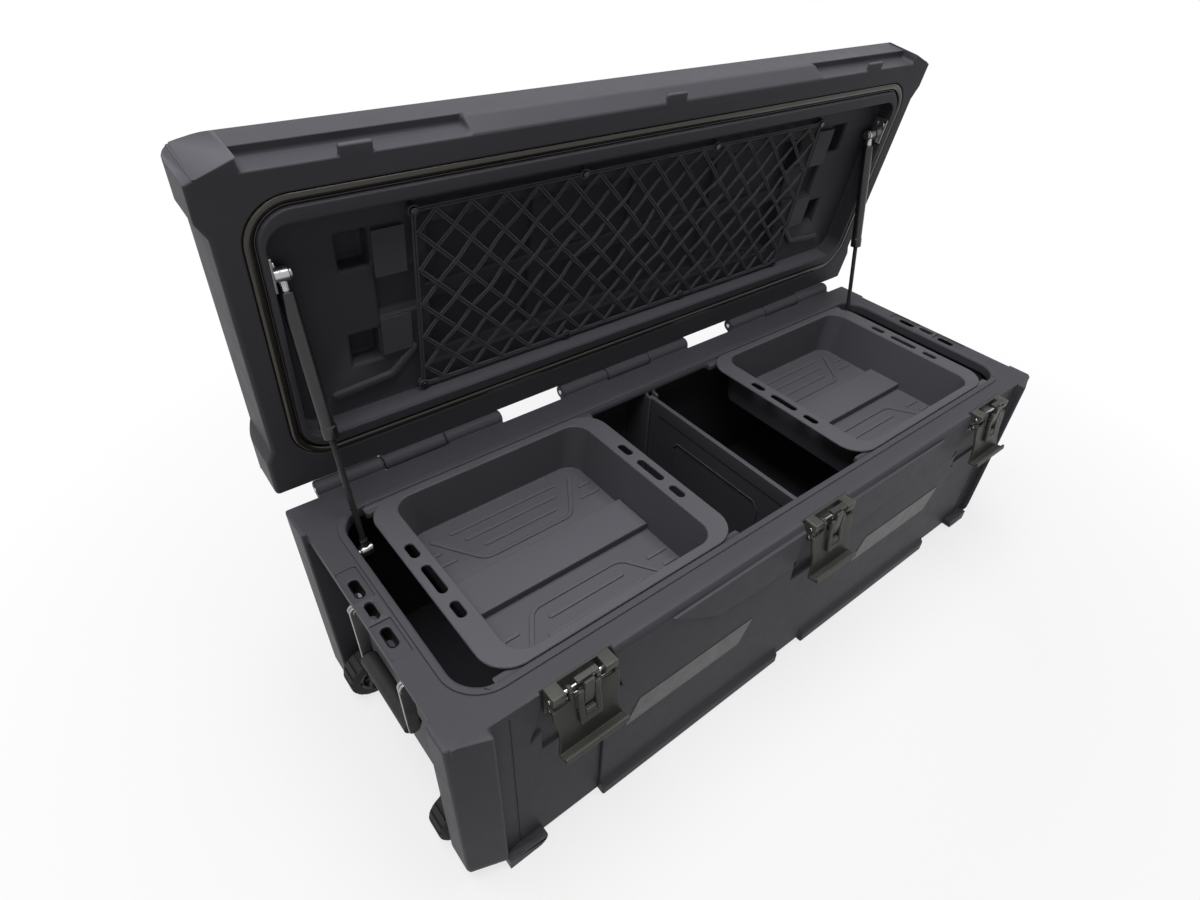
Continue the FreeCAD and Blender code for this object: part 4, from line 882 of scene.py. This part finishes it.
# The flap's edge round its slot, as rows and columns of its grid of points.
FLAP_RIM = [
    (0, 0), (0, 1), (0, 2), (0, 3), (1, 3), (2, 3), (3, 3), (3, 2), (2, 2), (1, 2), (1, 1), (2, 1), (3, 1),
    (3, 0), (2, 0), (1, 0),
]
FLAP_ROUNDING, FLAP_SEGMENTS, FLAP_ANGLE = 1.8, 3, 20
BOSS_HALF, BOSS_ALONG, BOSS_OUT = 6.9, (-26.2, -17.9), (8.5, 14.2)
BOSS_SLOPE = 0.8
BOSS_ROUNDING = 0.6
COVER_HALF = 6.8
# Forward and up from the pin.
COVER_PROFILE = ((7.0, -14.4), (9.6, -12.9), (12.8, -10.0), (13.4, 0.0), (13.4, 31.0), (7.0, 31.0))
COVER_ROUNDING = 0.7
SMALL_SEGMENTS = 2


def flap_spot(middle, x, level, front):
    """A spot on the flap: along the tilted lever below the hook's pin, upright above it."""
    if level < 0:
        out = FLAP_FRONT_LOW if front else FLAP_BACK
        forward = out * math.cos(LATCH_TILT) - level * math.sin(LATCH_TILT)
        rise = out * math.sin(LATCH_TILT) + level * math.cos(LATCH_TILT)
    else:
        forward = FLAP_FRONT_HIGH if front else FLAP_BACK
        rise = level + FLAP_RISE
    return LATCH_PIN + Vector((middle + x, -forward, rise))


def latch_flap(name):
    """The safety catch as a thick bevelled flap with a slot for the hook's arm."""
    middle = LATCH_PLACES[name]
    edges = (-FLAP_HALF, -FLAP_SLOT, FLAP_SLOT, FLAP_HALF)
    work = bmesh.new()
    sides = {}
    for front in (True, False):
        grid = [[work.verts.new(flap_spot(middle, x, level, front)) for x in edges] for level in FLAP_LEVELS]
        sides[front] = grid
        for row in range(len(FLAP_LEVELS) - 1):
            for column in range(len(edges) - 1):
                if row == 0 or column != 1:
                    work.faces.new((
                        grid[row][column], grid[row][column + 1],
                        grid[row + 1][column + 1], grid[row + 1][column],
                    ))
    for (row, column), (next_row, next_column) in zip(FLAP_RIM, FLAP_RIM[1:] + FLAP_RIM[:1]):
        work.faces.new((
            sides[True][row][column], sides[True][next_row][next_column],
            sides[False][next_row][next_column], sides[False][row][column],
        ))
    node = f"latch_catch_{name}"
    piece = add_piece(f"{node}_flap", made_mesh("flap", work), node, "latch_plastic", [node])
    softened(piece, FLAP_ROUNDING, FLAP_SEGMENTS, FLAP_ANGLE)


def lever_boss(name):
    """A raised boss on the lever that fills the flap's slot below the hook's arm."""
    middle = LATCH_PLACES[name]
    work = bmesh.new()
    slab(work, (middle - BOSS_HALF, middle + BOSS_HALF), BOSS_ALONG, BOSS_OUT, BOSS_SLOPE)
    turn = Matrix.Rotation(math.pi / 2 - LATCH_TILT, 4, "X")
    mesh = made_mesh("boss", work, Matrix.Translation(LATCH_PIN * MM) @ turn)
    piece = add_piece(f"latch_lever_{name}_boss", mesh, f"latch_lever_{name}", "latch_plastic")
    softened(piece, BOSS_ROUNDING, SMALL_SEGMENTS)


def hook_cover(name):
    """A cover on the hook's arm, level with the flap beside it."""
    middle = LATCH_PLACES[name]
    rings = [
        [LATCH_PIN + Vector((middle + x, -forward, rise)) for forward, rise in COVER_PROFILE]
        for x in (-COVER_HALF, COVER_HALF)
    ]
    work = bmesh.new()
    loft(work, rings, closed=False)
    body = f"latch_hook_{name}"
    piece = add_piece(f"{body}_cover", made_mesh("cover", work), body, "latch_plastic")
    softened(piece, COVER_ROUNDING, SMALL_SEGMENTS)


# Gas struts

STRUT_TOP = Vector((530, 206.1, 649.04))
STRUT_WAY = Vector((0, -0.15782, -0.98747))
# Reach from the lid's pivot, and radius there.
STRUT_PROFILE = [
    (18, 5.0), (18, 7.4), (18.6, 8.4), (20, 9.0), (185.5, 9.0), (186.5, 9.2), (187.2, 9.8), (188, 10.0),
    (201.8, 10.0), (202.7, 9.6), (203, 8.8), (203, 7.5), (196, 7.5),
]
STRUT_SIDES = 40
STRUT_CREASE = 50


def strut_tube(side, name):
    """A strut's cylinder with a rounded head and a rolled collar, from the lid's pivot down."""
    top = Vector((side * STRUT_TOP.x, STRUT_TOP.y, STRUT_TOP.z))
    across, out = Vector((1, 0, 0)), Vector((1, 0, 0)).cross(STRUT_WAY)
    rings = []
    for reach, radius in STRUT_PROFILE:
        middle = top + STRUT_WAY * reach
        rings.append([
            middle + radius * (across * math.cos(turn) + out * math.sin(turn)) for turn in around(STRUT_SIDES)
        ])
    work = bmesh.new()
    loft(work, rings, closed=False)
    node = f"strut_cylinder_{name}"
    piece = add_piece(f"{node}_tube", made_mesh("tube", work), BODY_OF[node], "strut_black", [node])
    finish_mesh(piece, STRUT_CREASE)


# Camera, floor and light

IMAGE_WIDTH, IMAGE_HEIGHT = 1200, 900
SENSOR_WIDTH = 36.0
CAMERA_PLACE = Vector((-716.4, -573.7, 1005.0))
CAMERA_AZIMUTH, CAMERA_ELEVATION, CAMERA_ROLL = math.radians(-41.83), math.radians(40.0), math.radians(3.87)
FOCAL_LENGTH = 717.29  # in pixels, as is the image's true middle
MIDDLE_X, MIDDLE_Y = 623.16, 466.43
VIEW_END = 100  # metres, as are the sizes of the floor
FLOOR_HALF = 30
FLOOR_LEVEL = -0.0005
FLOOR_GREY = 0.5
GLOW_SPAN = (0.6, 1.3)  # how far from the middle the floor starts to turn white and where it is white
GLOW_SHARE = (0.75, 1.0)  # how much of the floor is plain white there
SKY_STRENGTH = (0.2, 1.0)  # as light, and as seen
# Place, target, size and power, in metres and watts.
LAMPS = {
    "key": ((-1.0, -0.1, 2.6), (-0.1, 0, 0.3), (1.8, 1.0), 54),
    "top": ((0.3, 0.0, 2.9), (0.1, 0, 0.2), (2.4, 1.1), 68),
    "fill": ((-1.8, -2.2, 1.6), (0, 0, 0.2), (1.6, 1.2), 4),
}


def camera():
    """The camera at the photograph's place, turn and focal length."""
    flat = math.cos(CAMERA_ELEVATION)
    back = Vector((
        math.sin(CAMERA_AZIMUTH) * flat, -math.cos(CAMERA_AZIMUTH) * flat, math.sin(CAMERA_ELEVATION),
    ))
    right = Vector((math.cos(CAMERA_AZIMUTH), math.sin(CAMERA_AZIMUTH), 0))
    up = back.cross(right)
    turned_right = math.cos(CAMERA_ROLL) * right + math.sin(CAMERA_ROLL) * up
    turned_up = -math.sin(CAMERA_ROLL) * right + math.cos(CAMERA_ROLL) * up
    data = bpy.data.cameras.new("camera")
    data.sensor_width = SENSOR_WIDTH
    data.lens = FOCAL_LENGTH / IMAGE_WIDTH * SENSOR_WIDTH
    data.shift_x = (IMAGE_WIDTH / 2 - MIDDLE_X) / IMAGE_WIDTH
    data.shift_y = (MIDDLE_Y - IMAGE_HEIGHT / 2) / IMAGE_WIDTH
    data.clip_end = VIEW_END
    eye = bpy.data.objects.new("camera", data)
    turn = Matrix((turned_right, turned_up, back)).transposed().to_4x4()
    eye.matrix_world = Matrix.Translation(CAMERA_PLACE * MM) @ turn
    bpy.context.scene.collection.objects.link(eye)
    bpy.context.scene.camera = eye


def lamp(name, place, target, size, power):
    """An area light that faces its target."""
    data = bpy.data.lights.new(name, "AREA")
    data.shape = "RECTANGLE"
    data.size, data.size_y = size
    data.energy = power
    source = bpy.data.objects.new(name, data)
    source.location = place
    source.rotation_mode = "QUATERNION"
    source.rotation_quaternion = (Vector(target) - Vector(place)).to_track_quat("-Z", "Y")
    bpy.context.scene.collection.objects.link(source)


def combined(tree, operation, first, second):
    """Two values joined by a math node."""
    node = tree.nodes.new("ShaderNodeMath")
    node.operation = operation
    link(tree, first, node.inputs[0])
    link(tree, second, node.inputs[1])
    return node.outputs["Value"]


def seen_ray(tree):
    """One for rays from the camera, or on their way to it by a mirror or through glass."""
    path = tree.nodes.new("ShaderNodeLightPath").outputs
    seen = combined(tree, "MAXIMUM", path["Is Camera Ray"], path["Is Glossy Ray"])
    return combined(tree, "MAXIMUM", seen, path["Is Transmission Ray"])


def floor():
    """A pale floor that takes soft shadows and turns white away from the case."""
    work = bmesh.new()
    bmesh.ops.create_grid(work, x_segments=2, y_segments=2, size=FLOOR_HALF)
    mesh = bpy.data.meshes.new("floor")
    work.to_mesh(mesh)
    work.free()
    ground = bpy.data.objects.new("floor", mesh)
    ground.location.z = FLOOR_LEVEL
    made = bpy.data.materials.new("floor")
    made.use_nodes = True
    tree = made.node_tree
    shader = tree.nodes["Principled BSDF"]
    shader.inputs["Base Color"].default_value = (FLOOR_GREY, FLOOR_GREY, FLOOR_GREY, 1)
    shader.inputs["Roughness"].default_value = 0.9
    shader.inputs["Specular IOR Level"].default_value = 0.1
    glow = tree.nodes.new("ShaderNodeEmission")
    blend = tree.nodes.new("ShaderNodeMixShader")
    reach = tree.nodes.new("ShaderNodeVectorMath")
    reach.operation = "LENGTH"
    link(tree, tree.nodes.new("ShaderNodeNewGeometry").outputs["Position"], reach.inputs[0])
    share = stretch(tree, reach.outputs["Value"], *GLOW_SPAN, *GLOW_SHARE)
    link(tree, combined(tree, "MULTIPLY", share, seen_ray(tree)), blend.inputs["Fac"])
    link(tree, shader.outputs["BSDF"], blend.inputs[1])
    link(tree, glow.outputs["Emission"], blend.inputs[2])
    link(tree, blend.outputs["Shader"], tree.nodes["Material Output"].inputs["Surface"])
    mesh.materials.append(made)
    bpy.context.scene.collection.objects.link(ground)


def world():
    """A white surround that lights the case less than it shows."""
    made = bpy.data.worlds.new("studio")
    bpy.context.scene.world = made
    made.use_nodes = True
    tree = made.node_tree
    backdrop = tree.nodes["Background"]
    backdrop.inputs["Color"].default_value = (1, 1, 1, 1)
    link(tree, stretch(tree, seen_ray(tree), 0, 1, *SKY_STRENGTH), backdrop.inputs["Strength"])


# The scene

SIDES = {"left": -1, "right": 1}
REMADE = {
    "cargo_net", "lid_gasket",
    *(f"strut_cylinder_{name}" for name in SIDES),
    *(f"latch_catch_{name}" for name in LATCH_PLACES),
}

for node in NODES:
    if node not in REMADE:
        refined(node)
for name, side in SIDES.items():
    tray_ribs(side, name)
    strut_tube(side, name)
rim_sleeves()
lid_gasket()
lid_frame()
liner_details()
cargo_net()
divider_emboss()
for name in LATCH_PLACES:
    latch_flap(name)
    lever_boss(name)
    hook_cover(name)

camera()
floor()
world()
for name, settings in LAMPS.items():
    lamp(name, *settings)
bpy.context.scene.view_settings.view_transform = "Standard"
